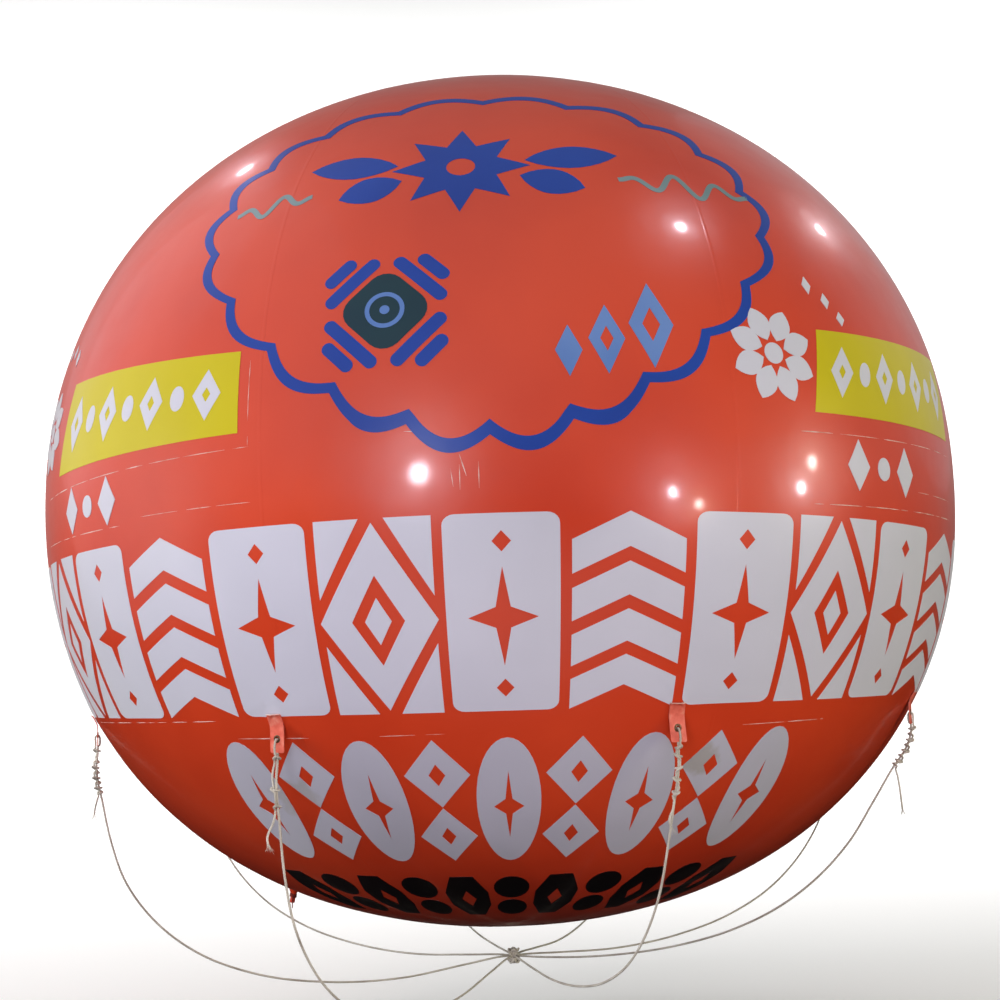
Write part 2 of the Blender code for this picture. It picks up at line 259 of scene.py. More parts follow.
def noise(tree, scale, detail=2.0, stretch=(1.0, 1.0, 1.0)):
    """A noise of so many waves a metre, in the balloon's own coordinates."""
    place = add_node(tree, "TexCoord", {}).outputs["Object"]
    shaped = add_node(tree, "Mapping", {"Scale": stretch, "Vector": place}).outputs["Vector"]
    return add_node(tree, "TexNoise", {"Scale": scale, "Detail": detail, "Vector": shaped}).outputs["Fac"]


def ramp(tree, source, stops):
    """A colour ramp over a value, from (place, colour) stops."""
    made = add_node(tree, "ValToRGB", {"Fac": source})
    while len(made.color_ramp.elements) < len(stops):
        made.color_ramp.elements.new(0.5)
    for element, (place, colour) in zip(made.color_ramp.elements, stops):
        element.position = place
        element.color = (*colour, 1.0)
    return made.outputs["Color"]


def bump(tree, source, strength, depth, under=None):
    """A bump over a value, on top of another bump where there is one."""
    inputs = {"Strength": strength, "Distance": depth, "Height": source}
    if under is not None:
        inputs["Normal"] = under
    return add_node(tree, "Bump", inputs).outputs["Normal"]


def darkened(tree, under, over, share):
    """A colour multiplied by another, by this share."""
    inputs = {"Factor": share, "A": under, "B": over}
    return add_node(tree, "Mix", inputs, data_type="RGBA", blend_type="MULTIPLY").outputs["Result"]


# Off-white cotton: yarns along each strand, greyed with handling.
rope_cotton, tree, shader = new_finish("cotton_rope", 0.86)
worn = ramp(tree, noise(tree, 9.0, 3.0), (
    (0.30, (0.42, 0.37, 0.31)), (0.58, (0.70, 0.66, 0.58)), (0.8, (0.80, 0.77, 0.70)),
))
yarn = noise(tree, 420.0)
shaded = ramp(tree, yarn, ((0.3, (0.62, 0.60, 0.58)), (0.7, (1.0, 1.0, 1.0))))
tree.links.new(darkened(tree, worn, shaded, 0.6), shader["Base Color"])
tree.links.new(bump(tree, yarn, 0.6, 0.0006), shader["Normal"])
shader["Sheen Weight"].default_value = 0.3
shader["Sheen Roughness"].default_value = 0.6

ropes = []
for index, slack in enumerate(ROPE_SLACKS):
    hole, level, fall, out = strap_axes(index + 1)
    start = hole + (EYELET_TO_END + SEAT_GAP) * fall
    azimuth = math.degrees(math.atan2(start.x, -start.y))
    route = [start, start + ROPE_LEAD * fall]
    for short, long in zip(SHORT_HANG, LONG_HANG):
        radius, height = (near + (far - near) * slack for near, far in zip(short, long))
        route.append(around(azimuth, radius, height))
    route.append(around(azimuth, KNOT_RADIUS + ROPE_ARRIVAL, KNOT_HEIGHT))
    route.append(around(azimuth, KNOT_RADIUS - INTO_KNOT, KNOT_HEIGHT))
    line = smooth_line(route, RING_SPACING)
    form = bmesh.new()
    add_tube(form, line, strand_outline(ROPE_RADIUS), level)
    rope = new_piece(f"laid_rope_{index + 1}", form, rope_cotton, "rope", ROPE_CREASE)
    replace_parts(rope, f"bridle_rope_{index + 1}")
    ropes.append({"piece": rope, "line": line, "start": start})


# Half hitches. The end of each rope comes up behind its strap, through the eyelet and down the
# front, and is hitched round its own rope several times. Its tail is left loose and frayed.
END_RADIUS = 0.0038
LOOP_PLACES = (
    (0.0, 0.0405, 0.0), (0.0, 0.0375, -0.0060), (0.0, 0.0280, -0.0078), (0.0, 0.0160, -0.0076),
    (0.0, 0.0065, -0.0064), (0.0, 0.0012, -0.0016), (0.0004, 0.0012, 0.0040),
    (0.0012, 0.0062, 0.0088), (0.0030, 0.0150, 0.0092), (0.0046, 0.0260, 0.0082),
    (0.0044, 0.0360, 0.0078), (0.0024, 0.0440, 0.0086),
)
LOOP_SWAYS = (-0.4, -1.0, 0.8, 0.5, -0.6, 0.7, -0.8, 0.4)
HITCH_RADIUS = 0.0084
HITCH_BUMP = 0.0074
HITCH_TURN = math.radians(430.0)
HITCH_STEPS = 22
HITCH_CLOSES = 0.8
HITCH_CROSSING = 0.84
CROSSING_REACH = 0.085
HITCH_RISE = 0.0045
HITCH_DIP = 0.004
DIP_REACH = 0.12
HITCH_RUN = 0.011
PAST_HITCH = 0.017
BEFORE_HITCH = 0.006
LINK_STEP = 0.010
LINK_SLACK = 0.05833
HITCH_PLACES = (
    (0.014, 0.056, 0.076, 0.095, 0.114, 0.133, 0.151, 0.169),
    (0.014, 0.106, 0.156),
    (0.014, 0.038, 0.074, 0.108, 0.150),
    (0.014, 0.036, 0.056, 0.078, 0.098, 0.122, 0.141, 0.160),
    (0.014, 0.060, 0.118),
    (0.014, 0.044, 0.096, 0.140),
    (0.014, 0.050, 0.090),
    (0.014, 0.070, 0.104, 0.150),
)
TAIL_LENGTHS = (0.055, 0.086, 0.075, 0.120, 0.090, 0.070, 0.110, 0.080)
TAIL_DRIFT = 0.42
TAIL_FALL = 0.9
TAIL_CURL = 0.006
FRAY_COUNT = 9
FRAY_LENGTH = 0.030
FRAY_RADIUS = 0.0007
FRAY_FOOT = (0.0004, 0.0026)
FRAY_TAPER = 0.7
FRAY_SPACING = 0.004
chance = random.Random(4)


def hitch_chain(line, level, out, hitches, tail):
    """An end's way below its eyelet: half hitches round its own rope's line, then the loose tail."""
    frames = carried_frames(line, out)
    spacing = (line[1] - line[0]).length
    turn = 0.0
    found = []

    def beside(distance, angle, lift):
        index = min(len(line) - 2, max(0, int(distance / spacing)))
        across, aside = frames[index]
        middle = line[index].lerp(line[index + 1], distance / spacing - index)
        return middle + lift * (math.cos(angle) * across + math.sin(angle) * aside)

    for number, place in enumerate(hitches):
        swing = HITCH_TURN if number % 2 == 0 else -HITCH_TURN
        for t in (step / HITCH_STEPS for step in range(HITCH_STEPS + 1)):
            rise = HITCH_RISE * math.sin(math.pi * min(1.0, t / HITCH_CLOSES))
            rise -= HITCH_DIP * math.exp(-(((t - HITCH_CLOSES) / DIP_REACH) ** 2))
            rise += HITCH_RUN * max(0.0, t - HITCH_CLOSES) / (1.0 - HITCH_CLOSES)
            lift = HITCH_RADIUS + HITCH_BUMP * math.exp(-(((t - HITCH_CROSSING) / CROSSING_REACH) ** 2))
            found.append(beside(place + rise, turn + swing * t, lift))
        turn += swing
        if number + 1 < len(hitches):
            first = place + PAST_HITCH
            last = hitches[number + 1] - BEFORE_HITCH
            count = max(1, round((last - first) / LINK_STEP))
            slack = LINK_SLACK * (last - first)
            swerve = chance.uniform(-0.5, 0.5)
            for t in (step / count for step in range(count + 1)):
                bow = math.sin(math.pi * t)
                along = first + (last - first) * t
                found.append(beside(along, turn + swerve * bow, HITCH_RADIUS + slack * bow))
    last = found[-1]
    away = (last - line[min(len(line) - 1, int(hitches[-1] / spacing))]).normalized()
    for share in (0.18, 0.4, 0.62, 0.82, 1.0):
        drift = TAIL_DRIFT * tail * math.sin(0.5 * math.pi * share)
        aside = drift * (0.75 * away + 0.25 * out) + TAIL_CURL * math.sin(6.0 * share) * level
        found.append(last + tail * share * TAIL_FALL * DOWN + aside)
    return found


for index, rope in enumerate(ropes):
    hole, level, fall, out = strap_axes(index + 1)
    sway = LOOP_SWAYS[index]
    route = [hole + sway * side * level + drop * fall + lift * out for side, drop, lift in LOOP_PLACES]
    route += hitch_chain(rope["line"], level, out, HITCH_PLACES[index], TAIL_LENGTHS[index])
    end = smooth_line(route, RING_SPACING)
    form = bmesh.new()
    add_tube(form, end, strand_outline(END_RADIUS), level)
    fell = (end[-1] - end[-3]).normalized()
    for strand in range(FRAY_COUNT):
        angle = 2.0 * math.pi * strand / FRAY_COUNT + chance.uniform(-0.2, 0.2)
        spread = chance.uniform(0.25, 0.6)
        aside = math.cos(angle) * level + math.sin(angle) * out
        foot = end[-1] + FRAY_FOOT[0] * fell + FRAY_FOOT[1] * aside
        reach = FRAY_LENGTH * chance.uniform(0.6, 1.0)
        middle = foot + reach * (0.5 * fell + 0.3 * spread * aside)
        wisp = smooth_line([foot, middle, foot + reach * (fell + spread * aside)], FRAY_SPACING)
        add_tube(form, wisp, lambda ring, turn: FRAY_RADIUS * (1.0 - FRAY_TAPER * ring / len(wisp)), level)
    rope["hitches"] = new_piece(f"half_hitches_{index + 1}", form, rope_cotton, "rope", ROPE_CREASE)


# Bridle knot. The eight ropes meet in one woven knot of the same rope, drawn tight round a
# packed core.
LEADS = 3
BIGHTS = 4
WEAVE_RADIUS = 0.0195
WEAVE_SWAY = 0.0030
WEAVE_HALF_HEIGHT = 0.026
WEAVE_STEPS = 220
WEAVE_SPACING = 0.003
KNOT_ROPE_RADIUS = 0.0042
CORE_PROFILE = ((0.000, 0.031), (0.007, 0.030), (0.013, 0.025), (0.0165, 0.014))
CORE_STEPS = 32


def turn_profile(form, points, axis, middle, steps, closed=False):
    """A profile of points, closed to a loop or not, turned once round an axis."""
    profile = [form.verts.new(point) for point in points]
    pairs = pairs_round(profile) if closed else zip(profile, profile[1:])
    edges = [form.edges.new(pair) for pair in pairs]
    bmesh.ops.spin(
        form, geom=[*profile, *edges], axis=axis, cent=middle, angle=2.0 * math.pi, steps=steps,
        use_merge=True,
    )
    bmesh.ops.remove_doubles(form, verts=form.verts, dist=0.00002)
    bmesh.ops.recalc_face_normals(form, faces=form.faces)


weave = []
for step in range(WEAVE_STEPS):
    turn = 2.0 * math.pi * LEADS * step / WEAVE_STEPS
    radius = WEAVE_RADIUS + WEAVE_SWAY * math.sin(2.0 * turn * BIGHTS / LEADS)
    height = WEAVE_HALF_HEIGHT * math.cos(turn * BIGHTS / LEADS)
    weave.append(Vector((radius * math.cos(turn), radius * math.sin(turn), KNOT_HEIGHT + height)))
weave.append(weave[0].copy())
form = bmesh.new()
add_tube(form, smooth_line(weave, WEAVE_SPACING), strand_outline(KNOT_ROPE_RADIUS, WEAVE_SPACING), UP)
core = [(radius, 0.0, KNOT_HEIGHT + height) for radius, height in CORE_PROFILE]
core += [(radius, 0.0, KNOT_HEIGHT - height) for radius, height in reversed(CORE_PROFILE)]
turn_profile(form, core, UP, (0.0, 0.0, KNOT_HEIGHT), CORE_STEPS)
knot = new_piece("woven_knot", form, rope_cotton, "rope", ROPE_CREASE)
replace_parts(knot, "bridle_knot")


# Envelope. It is one bag of glossy orange-red PVC film 0.2 mm thick, welded from eight gores above
# and eight below a level weld, and held round and taut by its gas.
EQUATOR_RADIUS = 1.830
CROWN_HEIGHT = 0.929 * EQUATOR_RADIUS
BASE_DEPTH = 0.923 * EQUATOR_RADIUS
CROWN_POWER = 2.083
BASE_POWER = 2.177
SKIN_COLUMNS = 360
SKIN_ROWS = 196
LAST_ROW = 89.0
WAVE_HEIGHTS = (0.00055, 0.00045, 0.00030)
TAB_AZIMUTHS = (-69.8, -25.1, 18.0, 63.0, 109.0, 155.0, 200.0, 245.0)
TAB_TILT = -27.2
PULL_HEIGHT = 0.0022
PULL_REACH = 0.075
PULL_TILTS = (-40.0, -16.0)
PULL_ENDS = 0.3
FOLD_HEIGHT = 0.0007
FOLD_REACH = (0.16, 0.10)
STAIN_AND_SHADOW_COLOUR = (0.74, 0.70, 0.56)
FILM_ROUGHNESS = 0.31


def skin_frame(azimuth, tilt):
    """A point on the envelope's true shape, and its outward direction."""
    lean = math.radians(tilt)
    power, reach = (CROWN_POWER, CROWN_HEIGHT) if tilt >= 0.0 else (BASE_POWER, BASE_DEPTH)
    radius = EQUATOR_RADIUS * abs(math.cos(lean)) ** (2.0 / power)
    height = math.copysign(reach * abs(math.sin(lean)) ** (2.0 / power), lean)
    flat = (radius / EQUATOR_RADIUS) ** (power - 1.0) / EQUATOR_RADIUS
    steep = math.copysign((abs(height) / reach) ** (power - 1.0) / reach, height)
    ahead = around(azimuth, 1.0, 0.0)
    return radius * ahead + height * UP, (flat * ahead + steep * UP).normalized()


def ripple(azimuth, tilt):
    """How far the taut film stands off its true shape: soft waves, and a pull at each tab."""
    turn = math.radians(azimuth)
    lean = math.radians(tilt)
    calm = math.cos(lean)
    height = WAVE_HEIGHTS[0] * calm * math.sin(9.0 * turn + 3.0 * lean + 2.0 * math.sin(4.0 * lean))
    height += WAVE_HEIGHTS[1] * calm * math.sin(14.0 * turn - 7.0 * lean + 1.3)
    height += WAVE_HEIGHTS[2] * math.sin(11.0 * lean + 2.0 * math.sin(3.0 * turn))
    if PULL_TILTS[0] < tilt < PULL_TILTS[1]:
        for place in TAB_AZIMUTHS:
            aside = math.radians((azimuth - place + 180.0) % 360.0 - 180.0) * EQUATOR_RADIUS * 0.9
            above = math.radians(tilt - TAB_TILT) * EQUATOR_RADIUS
            if abs(aside) < PULL_ENDS:
                height += PULL_HEIGHT * math.exp(-((aside / PULL_REACH) ** 2) - (above / PULL_REACH) ** 2)
                fold = math.exp(-((aside / FOLD_REACH[0]) ** 2) - (above / FOLD_REACH[1]) ** 2)
                height += FOLD_HEIGHT * fold * math.sin(math.atan2(above, aside) * 7.0)
    return height


def on_skin(azimuth, tilt, lift=0.0):
    """The point at an azimuth and a tilt in degrees, this far off the rippled film."""
    point, normal = skin_frame(azimuth, tilt)
    return point + (ripple(azimuth, tilt) + lift) * normal


def ranged(tree, source, low, high, new_low, new_high):
    """A value taken from one range to another."""
    inputs = {"Value": source, "From Min": low, "From Max": high, "To Min": new_low, "To Max": new_high}
    return add_node(tree, "MapRange", inputs).outputs["Result"]


def stain_and_shadow_blotch(tree, under, place, reach, strength):
    """A darkened blotch, a stain or a painted crease shadow: under is the colour below it, reach its size in
    metres.
    """
    where = add_node(tree, "TexCoord", {}).outputs["Object"]
    away = add_node(tree, "VectorMath", {0: where, 1: place}, operation="DISTANCE").outputs["Value"]
    near = ranged(tree, away, 0.0, reach, 1.0, 0.0)
    blotch = noise(tree, 24.0, 4.0, (1.0, 1.0, 0.6))
    patchy = add_node(tree, "Math", {0: blotch, 1: 0.9, 2: near}, operation="MULTIPLY_ADD").outputs["Value"]
    dirt_and_shadow = ramp(tree, patchy, ((0.70, (1.0, 1.0, 1.0)), (1.05, STAIN_AND_SHADOW_COLOUR)))
    return darkened(tree, under, dirt_and_shadow, strength)


def pvc_film(name, colours, shine=0.36, coat=0.35, stains_and_shadow=(), chalk=0.0):
    """Glossy calendered film: its colour and gloss drift a little, over a faint orange peel.

    shine and coat are how strongly it mirrors, and chalk is how pale it looks at a slant.
    """
    made, tree, shader = new_finish(name, FILM_ROUGHNESS)
    colour = ramp(tree, noise(tree, 1.6, 3.0), ((0.32, colours[0]), (0.68, colours[1])))
    for spot in stains_and_shadow:
        colour = stain_and_shadow_blotch(tree, colour, *spot)
    smear = noise(tree, 3.4, 4.0, (1.0, 1.0, 2.2))
    dull = ranged(tree, smear, 0.3, 0.7, FILM_ROUGHNESS - 0.02, FILM_ROUGHNESS + 0.06)
    slack = bump(tree, noise(tree, 5.5), 0.10, 0.02)
    tree.links.new(colour, shader["Base Color"])
    tree.links.new(dull, shader["Roughness"])
    tree.links.new(bump(tree, noise(tree, 160.0), 0.10, 0.0006, slack), shader["Normal"])
    for socket, value in (
        ("Specular IOR Level", shine), ("Coat Weight", coat), ("Coat Roughness", 0.09), ("Coat IOR", 1.40),
        ("Sheen Weight", chalk), ("Sheen Roughness", 0.5),
    ):
        shader[socket].default_value = value
    return made


def close_poles(form, rings, foot, head):
    """Faces from the first ring to a corner at its pole, and from the last ring to one at its own."""
    for ring, place in ((list(reversed(rings[0])), foot), (rings[-1], head)):
        pole = form.verts.new(place)
        for first, last in pairs_round(ring):
            form.faces.new((first, last, pole))


skin_pvc = pvc_film("orange_red_pvc", ((0.60, 0.042, 0.012), (0.70, 0.060, 0.017)))
form = bmesh.new()
tilts = [-LAST_ROW + 2.0 * LAST_ROW * row / SKIN_ROWS for row in range(SKIN_ROWS + 1)]
azimuths = [360.0 * column / SKIN_COLUMNS for column in range(SKIN_COLUMNS)]
rings = add_rings(form, [[on_skin(azimuth, tilt) for azimuth in azimuths] for tilt in tilts], False)
close_poles(form, rings, on_skin(0.0, -90.0), on_skin(0.0, 90.0))
envelope = new_piece("envelope_skin", form, skin_pvc, "skin")
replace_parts(envelope, *[f"upper_gore_{n + 1}" for n in range(8)], *[f"lower_gore_{n + 1}" for n in range(8)])


# Welds. The gores overlap by a finger's width along eight upright lines above and below the level
# weld, and a round patch of the same film closes each pole.
FIRST_SEAM = -22.5
SEAM_WIDTH = 0.013
SEAM_PROUD = 0.0003
SEAM_STEPS = 110
FILM_UNDER = -0.0004
WELD_EDGE = 0.00008
WELD_FLAT = 0.36
TIP_STEP = 0.8
WELD_TILT = -1.13
WELD_GAP = 0.25
POLE_TILT = 83.2
PATCH_PROUD = 0.0011
PATCH_RIM = ((0.0, FILM_UNDER), (0.0, PATCH_PROUD), (0.2, PATCH_PROUD + 0.0004))
PATCH_RISES = (0.6, 1.6, 2.6, 3.6, 4.6, 5.6, 6.6)
PATCH_COLUMNS = 144
SLOPE_PROBE = 0.02
SMOOTH_WITHIN = 0.6


def cut_sheet(name, groups, spacing, place, proud, material, slot, under=FILM_UNDER):
    """A thin closed sheet cut to flat outlines, each a list of loops, and laid where place says."""
    form = bmesh.new()
    for loops in groups:
        rims = []
        for loop in loops:
            corners = [form.verts.new((across, up, 0.0)) for across, up in loop]
            rims += [form.edges.new(pair) for pair in pairs_round(corners)]
        bmesh.ops.triangle_fill(form, use_beauty=True, use_dissolve=False, edges=rims, normal=UP)
    for axis in (0, 1):
        facing = Vector([float(number == axis) for number in range(3)])
        places = [corner.co[axis] for corner in form.verts]
        line = spacing * (math.floor(min(places) / spacing) + 1.0)
        while line < max(places) - 1e-6:
            whole = [*form.verts, *form.edges, *form.faces]
            bmesh.ops.bisect_plane(form, geom=whole, dist=1e-6, plane_co=line * facing, plane_no=facing)
            line += spacing
    for face in form.faces:
        if face.normal.z < 0.0:
            face.normal_flip()
    raised = bmesh.ops.extrude_face_region(form, geom=list(form.faces), use_keep_orig=True)
    tops = [item for item in raised["geom"] if isinstance(item, bmesh.types.BMVert)]
    bmesh.ops.translate(form, vec=(0.0, 0.0, spacing), verts=tops)
    bmesh.ops.recalc_face_normals(form, faces=form.faces)
    facings = []
    step = SLOPE_PROBE * spacing
    for corner in form.verts:
        across, up, level = corner.co
        along = place(across + step, up, 0.0) - place(across - step, up, 0.0)
        rise = place(across, up + step, 0.0) - place(across, up - step, 0.0)
        facings.append(along.cross(rise).normalized())
        corner.co = place(across, up, proud if level > 0.5 * spacing else under)
    mesh = smooth_mesh(name, form)
    shading = []
    for face in mesh.polygons:
        flat = face.normal.copy()
        for facing in (facings[corner] for corner in face.vertices):
            match = flat.dot(facing)
            shading.append(math.copysign(1.0, match) * facing if abs(match) > SMOOTH_WITHIN else flat)
    mesh.normals_split_custom_set(shading)
    return dressed(mesh, material, slot)


def add_weld(form, line, width, proud, tip=1.0):
    """A raised weld along a line of (azimuth, tilt) places; tip is how wide its ends are."""
    section = [(-0.5, FILM_UNDER), (-0.5, WELD_EDGE), (-WELD_FLAT, proud)]
    section += [(-share, lift) for share, lift in reversed(section)]
    rings = []
    for index, (azimuth, tilt) in enumerate(line):
        point, normal = skin_frame(azimuth, tilt)
        before = skin_frame(*line[max(0, index - 1)])[0]
        after = skin_frame(*line[min(len(line) - 1, index + 1)])[0]
        aside = (after - before).cross(normal).normalized()
        point += ripple(azimuth, tilt) * normal
        reach = width * min(1.0, tip + TIP_STEP * min(index, len(line) - 1 - index))
        rings.append([point + share * reach * aside + lift * normal for share, lift in section])
    add_rings(form, rings)


form = bmesh.new()
for azimuth in (FIRST_SEAM + 45.0 * seam for seam in range(8)):
    for first, last in ((-POLE_TILT, WELD_TILT - WELD_GAP), (WELD_TILT + WELD_GAP, POLE_TILT)):
        line = [(azimuth, first + (last - first) * step / SEAM_STEPS) for step in range(SEAM_STEPS + 1)]
        add_weld(form, line, SEAM_WIDTH, SEAM_PROUD)
bmesh.ops.recalc_face_normals(form, faces=form.faces)
new_piece("upright_welds", form, skin_pvc, "skin", 50.0)

azimuths = [360.0 * column / PATCH_COLUMNS for column in range(PATCH_COLUMNS)]
profile = [*PATCH_RIM, *[(rise, PATCH_PROUD) for rise in PATCH_RISES]]
for name, sign, node in (("crown_patch", 1.0, "crown_disc"), ("base_patch", -1.0, "base_disc")):
    form = bmesh.new()
    rings = add_rings(form, [
        [on_skin(azimuth, sign * (POLE_TILT + rise), lift) for azimuth in azimuths] for rise, lift in profile
    ], False)
    close_poles(form, rings, on_skin(0.0, sign * 90.0, FILM_UNDER), on_skin(0.0, sign * 90.0, PATCH_PROUD))
    bmesh.ops.recalc_face_normals(form, faces=form.faces)
    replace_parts(new_piece(name, form, skin_pvc, "skin", 40.0), node)


# Display films. The artwork is cut from thin glossy film and laid on the inflated skin: a band of
# tall white tiles round the girth, a smaller band below it whose white is greyed as painted shade of
# the lower girth and which carries stains and a painted crease shadow, and black marks near the base.
FILM_PROUD = 0.0009
UPPER_BAND = (-27.6, -8.2)
LOWER_BAND = (-48.9, -30.7)
BASE_BAND = (-64.4, -52.4)
BAND_GRID = 1.0
SIDES = (0.0, 180.0)
STAINS_AND_CREASE_SHADOW = (
    ((0.580, -1.420, -1.000), 0.10, 0.8),
    ((0.530, -1.330, -1.120), 0.07, 0.8),
    # This last blotch, below the left front tab, is a painted crease shadow. The two above are stains.
    ((-0.660, -1.300, -1.080), 0.13, 0.6),
)


def lozenge(width, height, across=0.0, up=0.0):
    return [
        (across, up + height / 2.0), (across - width / 2.0, up),
        (across, up - height / 2.0), (across + width / 2.0, up),
    ]


def oval(width, height, across=0.0, up=0.0, count=40):
    return [
        (across + width / 2.0 * math.cos(turn), up + height / 2.0 * math.sin(turn))
        for turn in whole_turn(count)
    ]


def pointed_star(width, height, points, waist):
    found = []
    for step in range(2 * points):
        turn = math.pi * step / points + math.pi / 2.0
        reach = 0.5 if step % 2 == 0 else 0.5 * waist
        found.append((width * reach * math.cos(turn), height * reach * math.sin(turn)))
    return found


def round_panel(width, height, corner):
    """A rectangle with rounded corners, as (width, height) shares of one corner's size."""
    found = []
    for quarter, (side, rise) in enumerate(((1.0, 1.0), (-1.0, 1.0), (-1.0, -1.0), (1.0, -1.0))):
        for step in range(6):
            turn = math.radians(90.0 * quarter + 18.0 * step)
            found.append((
                side * (width / 2.0 - corner[0]) + corner[0] * math.cos(turn),
                rise * (height / 2.0 - corner[1]) + corner[1] * math.sin(turn),
            ))
    return found


def chevron(up, half=0.46, drop=0.13, thick=0.165):
    return [
        (-half, up - drop), (0.0, up), (half, up - drop),
        (half, up - drop - thick), (0.0, up - thick), (-half, up - drop - thick),
    ]


star_panel = [[
    round_panel(0.90, 1.0, (0.10, 0.05)), pointed_star(0.56, 0.50, 4, 0.30),
    lozenge(0.15, 0.10, 0.0, 0.37), lozenge(0.15, 0.10, 0.0, -0.37),
]]
framed_lozenge = [[lozenge(0.98, 0.96), lozenge(0.44, 0.46)], [lozenge(0.22, 0.24)]] + [
    [[(side * 0.47, rise * 0.50), (side * 0.10, rise * 0.50), (side * 0.47, rise * 0.12)]]
    for side in (-1.0, 1.0) for rise in (-1.0, 1.0)
]
stacked_chevrons = [[chevron(0.50 - 0.235 * step)] for step in range(4)]
starred_oval = [[oval(0.96, 1.0), pointed_star(0.46, 0.54, 4, 0.32)]]
twin_lozenges = [[lozenge(0.94, 0.49, 0.0, up), lozenge(0.24, 0.16, 0.0, up)] for up in (0.25, -0.25)]
pierced_barrel = [[[
    (-0.48, 0.16), (-0.48, -0.16), (-0.2304, -0.5), (0.2304, -0.5),
    (0.48, -0.16), (0.48, 0.16), (0.2304, 0.5), (-0.2304, 0.5),
], lozenge(0.34, 0.40)]]
dot_pair = [[oval(0.76, 0.47, 0.0, up, 20)] for up in (0.26, -0.26)]


def each_point(groups, change):
    """Outlines with every (across, up) point changed."""
    return [[[change(across, up) for across, up in loop] for loop in loops] for loops in groups]


def turned_groups(groups, azimuth):
    return each_point(groups, lambda across, up: (across + azimuth, up))


white_film = pvc_film("white_display_film", ((0.570, 0.570, 0.685), (0.640, 0.640, 0.765)), chalk=1.0)
# The lower band's white is darker than the upper band's as painted shade of the lower girth. Its blotches are
# two stains and a painted crease shadow.
painted_shade_stained_film = pvc_film(
    "painted_shade_stained_white_film", ((0.465, 0.460, 0.560), (0.520, 0.515, 0.625)), chalk=0.5, stains_and_shadow=STAINS_AND_CREASE_SHADOW,
)
black_film = pvc_film("black_display_film", ((0.007, 0.004, 0.005), (0.013, 0.007, 0.008)), 0.24, 0.2)
upper_tiles = [star_panel, framed_lozenge, star_panel, stacked_chevrons] * 3 + [star_panel]
lower_tiles = [starred_oval, twin_lozenges] * 4 + [starred_oval]
base_tiles = [pierced_barrel, dot_pair] * 5 + [pierced_barrel]
for name, tiles, reach, (foot, head), film, slot in (
    ("upper_band", upper_tiles, 76.5, UPPER_BAND, white_film, "film_white"),
    ("lower_band", lower_tiles, 36.0, LOWER_BAND, painted_shade_stained_film, "film_white"),
    ("base_band", base_tiles, 44.0, BASE_BAND, black_film, "film_black"),
):
    pitch = 2.0 * reach / len(tiles)
    band = []
    for number, tile in enumerate(tiles):
        middle = -reach + (number + 0.5) * pitch
        band += each_point(tile, lambda across, up: (
            middle + pitch * across, (foot + head) / 2.0 + (head - foot) * up
        ))
    groups = [loops for side in SIDES for loops in turned_groups(band, side)]
    cut_sheet(name, groups, BAND_GRID, on_skin, FILM_PROUD, film, slot)


# Side panels. On each side of the emblem a yellow film panel carries a row of white motifs, with a
# rosette and three flecks at its inner end and three small marks under it, all in white film.
PANELS = (
    ((-54.1, 10.0), (-24.9, 7.9), (-24.9, 0.0), (-57.0, 0.1)),
    ((33.7, 9.7), (63.7, 11.9), (61.6, 1.7), (32.0, 1.0)),
)
ROSETTES = ((-62.9, 6.0), (27.5, 6.4))
FLECKS = (((-56.4, 13.9), (-58.6, 15.2), (-61.4, 15.6)), ((33.9, 14.9), (36.2, 13.4), (38.0, 11.6)))
MOTIFS = 7
MARKS = ((-48.2, -3.75), (42.2, -3.15))
MARK_SIZE = (0.110, 0.150)
MARK_PITCH = 0.135
PETAL = (0.160, 0.080, 0.045)
PETAL_POINTS = 9
OVERLAY_PROUD = 0.0016
LOOP_STEP = 0.03


def finely(loop, step):
    """A loop with its long sides cut into pieces no longer than this."""
    found = []
    for first, last in pairs_round(loop):
        count = max(1, math.ceil(math.dist(first, last) / step))
        for part in range(count):
            found.append(tuple(a + (b - a) * part / count for a, b in zip(first, last)))
    return found


def in_metres(groups, azimuth, tilt):
    """Flat outlines in metres, laid round a place on the skin as (azimuth, tilt) outlines."""

    def laid(across, up):
        slope = tilt + math.degrees(up / EQUATOR_RADIUS)
        level = EQUATOR_RADIUS * math.cos(math.radians(slope)) ** (2.0 / CROWN_POWER)
        return azimuth + math.degrees(across / level), slope

    return each_point([[finely(loop, LOOP_STEP) for loop in loops] for loops in groups], laid)


def across_panel(corners, loop):
    """A loop of shares across and up a four-cornered panel, as (azimuth, tilt) places."""
    top_left, top_right, low_right, low_left = (Vector(corner) for corner in corners)
    found = []
    for across, up in loop:
        low = low_left.lerp(low_right, across)
        found.append(tuple(low.lerp(top_left.lerp(top_right, across), up)))
    return found


def spun(loop, degrees):
    cosine = math.cos(math.radians(degrees))
    sine = math.sin(math.radians(degrees))
    return [(x * cosine - y * sine, x * sine + y * cosine) for x, y in loop]


def moved(loop, across):
    return [(x + across, y) for x, y in loop]


def petal(reach, width, foot, turn):
    """A pointed leaf from the middle outwards, turned so many degrees from level."""
    found = []
    for side in (1.0, -1.0):
        for step in range(PETAL_POINTS):
            share = step / PETAL_POINTS if side > 0 else 1.0 - step / PETAL_POINTS
            aside = side * width / 2.0 * math.sin(math.pi * share) ** 0.8
            found.append((foot + (reach - foot) * share, aside))
    return spun(found, turn)


